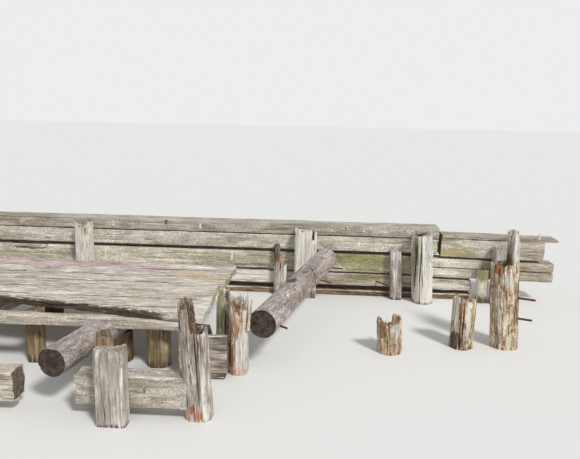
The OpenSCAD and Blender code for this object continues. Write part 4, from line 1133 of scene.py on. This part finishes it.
def build_broken_piles():
    tufts = tuft(16, (2.17, -1.51, 1.19), (0.04, 0.07, 0.04), 0.08, 0.014, 57)
    tufts += tuft(22, (2.07, -1.51, 0.87), (0.06, 0.08, 0.04), 0.09, 0.014, 58)
    pile("tall_rotten_pile", ROTTEN, 56, (0.295, 0.28, 1.283), (2.205, FACE_Y - 1.75 + 0.14), marked(
        (-1.63, 0.2), rot=[(2.27, 0.50, 0.045, 0.36, 1.0), (2.13, 0.55, 0.06, 0.20, 0.5)],
        rust=[(2.05, 0.87, 0.05, 0.08, 0.8), ((2.245, -1.60, 0.86), (0.020, 0.2, 0.03), 0.9),
              (2.14, 0.90, 0.03, 0.05, 0.6)],
        pale=[((2.21, -1.60, 1.16), (0.07, 0.3, 0.25), 1.1), ((2.165, -1.65, 0.77), (0.05, 0.2, 0.09), 1.0),
              ((2.14, -1.50, 1.05), (0.05, 0.3, 0.15), 0.8), (2.10, 0.40, 0.09, 0.40, 0.5)],
        dark=[((2.10, -1.60, 0.88), (0.016, 0.2, 0.06), 1.0), (2.11, 0.72, 0.012, 0.12, 0.6),
              ((2.235, -1.60, 1.10), (0.008, 0.2, 0.12), 0.9)],
        moss=[((2.13, -1.5, 1.00), (0.04, 0.3, 0.14), 0.5)]),
        lean=-4.0, more=tufts, drop=0.11, staves=14, side=lambda theta: np.cos(theta) - 0.40, low=0.93, groove=0.030,
        grooves=16, cols=160, hollow=0.22, rough=0.010, ribs=0.012)
    pile("split_stub", ROTTEN, 59, (0.25, 0.26, 0.575), (1.735, FACE_Y - 1.80 + 0.13), marked(
        (-1.68, 0.2), 0.10, rot=[(1.69, 0.35, 0.025, 0.30, 0.9), (1.80, 0.3, 0.02, 0.3, 0.5)],
        dark=[((1.715, -1.69, 0.35), (0.014, 0.2, 0.30), 0.9), (1.66, 0.10, 0.07, 0.14, 1.0)],
        pale=[(1.77, 0.35, 0.04, 0.35, 0.8), (1.645, 0.40, 0.03, 0.25, 0.8)]),
        lean=1.0, more=tuft(12, (1.735, -1.57, 0.51), (0.08, 0.08, 0.03), 0.05, 0.012, 60),
        drop=0.09, groove=0.034, grooves=12, cols=140, hollow=0.14, rough=0.008, ribs=0.012)
    pile("low_stub", ROTTEN, 61, (0.26, 0.24, 0.38), (0.956, FACE_Y - 2.02 + 0.12), marked(
        (-1.9, 0.2), rot=[(0.87, 0.27, 0.05, 0.14, 0.9)], rust=[(0.875, 0.29, 0.02, 0.06, 0.8)],
        pale=[(1.00, 0.25, 0.06, 0.16, 0.9)], moss=[((0.96, -1.92, 0.20), (0.10, 0.2, 0.12), 0.5)],
        wet=[(0.96, 0.1, 0.2, 0.3, 0.4)], pink=[((0.98, -1.92, 0.06), (0.12, 0.2, 0.08), 0.5)],
        dark=[((0.925, -1.92, 0.30), (0.014, 0.2, 0.10), 0.8)]),
        lean=-3.0, more=tuft(10, (0.94, -1.8, 0.33), (0.08, 0.08, 0.03), 0.05, 0.010, 62),
        staves=8, groove=0.024, cols=130, rough=0.008, ribs=0.010)


def build_deck_piles():
    for number, x, w in ((1, -1.315, 0.23), (2, -2.52, 0.17), (3, -4.02, 0.20)):
        pile(f"deck_pile_{number}", BROWN, 62 + number, (w, w, 0.53), (x, -2.475 + w / 2), marked(foot=0.2),
             front=FACE_Y - 2.56, cols=84, groove=0.014, **SAWN)


# Outer row

# X that lies one bay right of the first outer post
OUTER_POST_X = 0.135


def build_outer_row():
    box_timber("outer_beam_right", CAP, 70, marked(
        (-3.43, 0.1), dark=[(-1.13, 0.25, 0.022, 0.018, 1.2), (-1.1, 0.09, 0.6, 0.03, 0.6)],
        pale=[(-1.1, 0.37, 0.5, 0.03, 0.9)]), wear=0.014, ragged=(0.03, 0.0), checks=8, step=0.02)
    box_timber("outer_beam_left", LOWER, 71, marked((-3.43, 0.2), rot=[(-2.3, 0.30, 0.2, 0.1, 0.4)]),
               wear=0.016, ragged=(0.0, 0.05), checks=9)
    y = FACE_Y - 3.53 + 0.12
    tufts = tuft(14, (-0.81, y, 0.94), (0.05, 0.07, 0.03), 0.05, 0.012, 73)
    tufts += tuft(12, (-0.70, y, 0.69), (0.04, 0.07, 0.03), 0.05, 0.010, 74)
    pile("outer_end_pile", WEATHERED, 72, (0.218, 0.24, 0.995), (-0.715, y), marked(
        (y - 0.12, 0.2), rot=[(-0.755, 0.10, 0.025, 0.06, 1.0), (-0.765, 0.85, 0.012, 0.12, 0.8),
                              (-0.665, 0.50, 0.012, 0.20, 0.7)],
        pink=[(-0.74, 0.08, 0.09, 0.10, 0.8)], rust=[(-0.70, 0.055, 0.035, 0.05, 1.0)],
        wet=[((-0.80, y, 0.88), (0.12, 0.3, 0.16), 0.9)],
        pale=[(-0.64, 0.08, 0.04, 0.10, 1.0), ((-0.80, y - 0.10, 0.98), (0.08, 0.2, 0.025), 0.7),
              (-0.67, 0.30, 0.03, 0.35, 0.8), (-0.75, 0.35, 0.02, 0.25, 0.6)],
        dark=[((-0.855, y - 0.10, 0.80), (0.018, 0.2, 0.045), 1.0), (-0.84, 0.76, 0.03, 0.015, 1.0),
              (-0.70, 0.60, 0.010, 0.2, 0.7)]),
        lean=-3.5, more=tufts, square=2.6, drop=0.07, staves=12, side=lambda theta: -np.cos(theta) - 0.02, low=0.74,
        groove=0.024, grooves=14, cols=150, hollow=0.16, rough=0.008, ribs=0.010)
    for number in (1, 2, 3):
        x = OUTER_POST_X - number * BAY
        pile(f"outer_post_{number}", OLD_POST, 74 + number, (0.242, 0.14, 0.645), (x, FACE_Y - 3.60), marked(
            (-3.57, 0.1), 0.08, pale=[(x + 0.10, 0.33, 0.02, 0.45, 0.55), (x - 0.05, 0.50, 0.08, 0.25, 0.4)],
            dark=[(x - 0.04, 0.10, 0.012, 0.16, 0.7)]),
            square=7.0, drop=0.02, staves=6, cols=96, hollow=0.02, head_rows=6)
    pile("outer_back_post", BROWN, 78, (0.135, 0.15, 0.63), (-1.546, FACE_Y - 3.255), marked(foot=0.1),
         square=4.0, drop=0.05, staves=5, cols=64, hollow=0.04)


# Iron

def build_iron():
    """Rods, bolts and the wooden peg: start, stop, radius and seed of each."""
    bolts = [((x, FACE_Y + 0.03, z), (x, FACE_Y - 0.006, z), 0.016, 87)
             for x, z in ((-1.898, 0.925), (0.523, 0.925), (1.298, 0.915))]
    pieces = (("tall_pile_rods", IRON, 80, [((2.27, -1.58, 0.565), (2.455, -1.62, 0.555), 0.013, 80),
                                            ((2.29, -1.58, 0.34), (2.44, -1.62, 0.335), 0.013, 81)]),
              ("wall_rods", IRON, 81, [((0.19, 0.12, 0.385), (0.491, -0.12, 0.427), 0.010, 83),
                                       ((-0.04, 0.12, 0.255), (0.353, -0.15, 0.238), 0.009, 84),
                                       ((0.94, 0.12, 0.21), (1.10, -0.10, 0.218), 0.009, 85)]),
              ("log_rod", IRON, 82, [((-0.25, -2.27, 0.44), (-0.075, -2.36, 0.417), 0.012, 86)]),
              ("cap_bolts", IRON, 83, bolts),
              ("wall_peg", POST, 84, [((3.04, 0.12, 0.83), (3.045, 0.115, 0.93), 0.014, 90)]))
    for name, material, seed, bars in pieces:
        make_piece(name, [rod(*bar) for bar in bars], material, seed, sharp=60.0)


# Stage

FLOOR_REACH = 90.0
# Focal length and width of the picture in pixels, and width of the sensor in millimetres
FOCAL, PICTURE, SENSOR = 600, 580, 36.0
# Place of the eye, and its turn to the left, up and clockwise
EYE = Vector((0.26, -7.74, 2.44))
YAW, PITCH, ROLL = math.radians(3.5), math.radians(-11.2), math.radians(1.1)


def build_stage():
    mesh = bpy.data.meshes.new("floor")
    corners = [(x * FLOOR_REACH, y * FLOOR_REACH, 0) for x, y in ((-1, -1), (1, -1), (1, 1), (-1, 1))]
    mesh.from_pydata(corners, [], [(0, 1, 2, 3)])
    mesh.materials.append(Graph(bpy.data.materials.new("floor")).surface({
        "Base Color": (0.80, 0.80, 0.79, 1), "Roughness": 0.9, "Specular IOR Level": 0.1}))
    floor = add_object("floor", mesh)

    g = Graph(bpy.data.worlds.new("studio"))
    fill = g.tree.nodes["Background"]
    g.feed(fill, {"Color": (0.96, 0.98, 1.0, 1), "Strength": 0.50})
    shown = g.add("ShaderNodeBackground", {"Color": (0.84, 0.85, 0.86, 1)})
    rays = g.add("ShaderNodeLightPath").outputs
    seen = g.math("MAXIMUM", g.math("MAXIMUM", rays["Is Camera Ray"], rays["Is Glossy Ray"]),
                  rays["Is Transmission Ray"])
    sky = g.add("ShaderNodeMixShader", {0: seen, 1: fill.outputs[0], 2: shown.outputs[0]})
    g.feed(g.tree.nodes["World Output"], {"Surface": sky.outputs[0]})
    bpy.context.scene.world = g.owner

    light = bpy.data.lights.new("key", "SUN")
    light.energy = 2.3
    light.angle = math.radians(10)
    light.color = (1.0, 0.985, 0.955)
    add_object("key", light).rotation_euler = (math.radians(45), 0, math.radians(38))


def build_camera():
    data = bpy.data.cameras.new("camera")
    data.lens = SENSOR * FOCAL / PICTURE
    data.sensor_width = SENSOR
    data.sensor_fit = "HORIZONTAL"
    data.clip_end = 200
    ahead = Vector((-math.sin(YAW) * math.cos(PITCH), math.cos(YAW) * math.cos(PITCH), math.sin(PITCH)))
    right = ahead.cross(Vector((0, 0, 1))).normalized()
    up = right.cross(ahead)
    rolled_right = right * math.cos(ROLL) + up * math.sin(ROLL)
    rolled_up = up * math.cos(ROLL) - right * math.sin(ROLL)
    pose = Matrix((rolled_right, rolled_up, -ahead)).transposed().to_4x4()
    pose.translation = EYE
    camera = add_object("camera", data)
    camera.matrix_world = pose
    bpy.context.scene.camera = camera


build_camera()
build_stage()
build_wall()
build_right_section()
build_wall_posts()
build_stakes()
build_deck()
build_logs()
build_torn_pile()
build_deck_corner()
build_broken_piles()
build_deck_piles()
build_outer_row()
build_iron()

bpy.context.scene.view_settings.view_transform = "Standard"
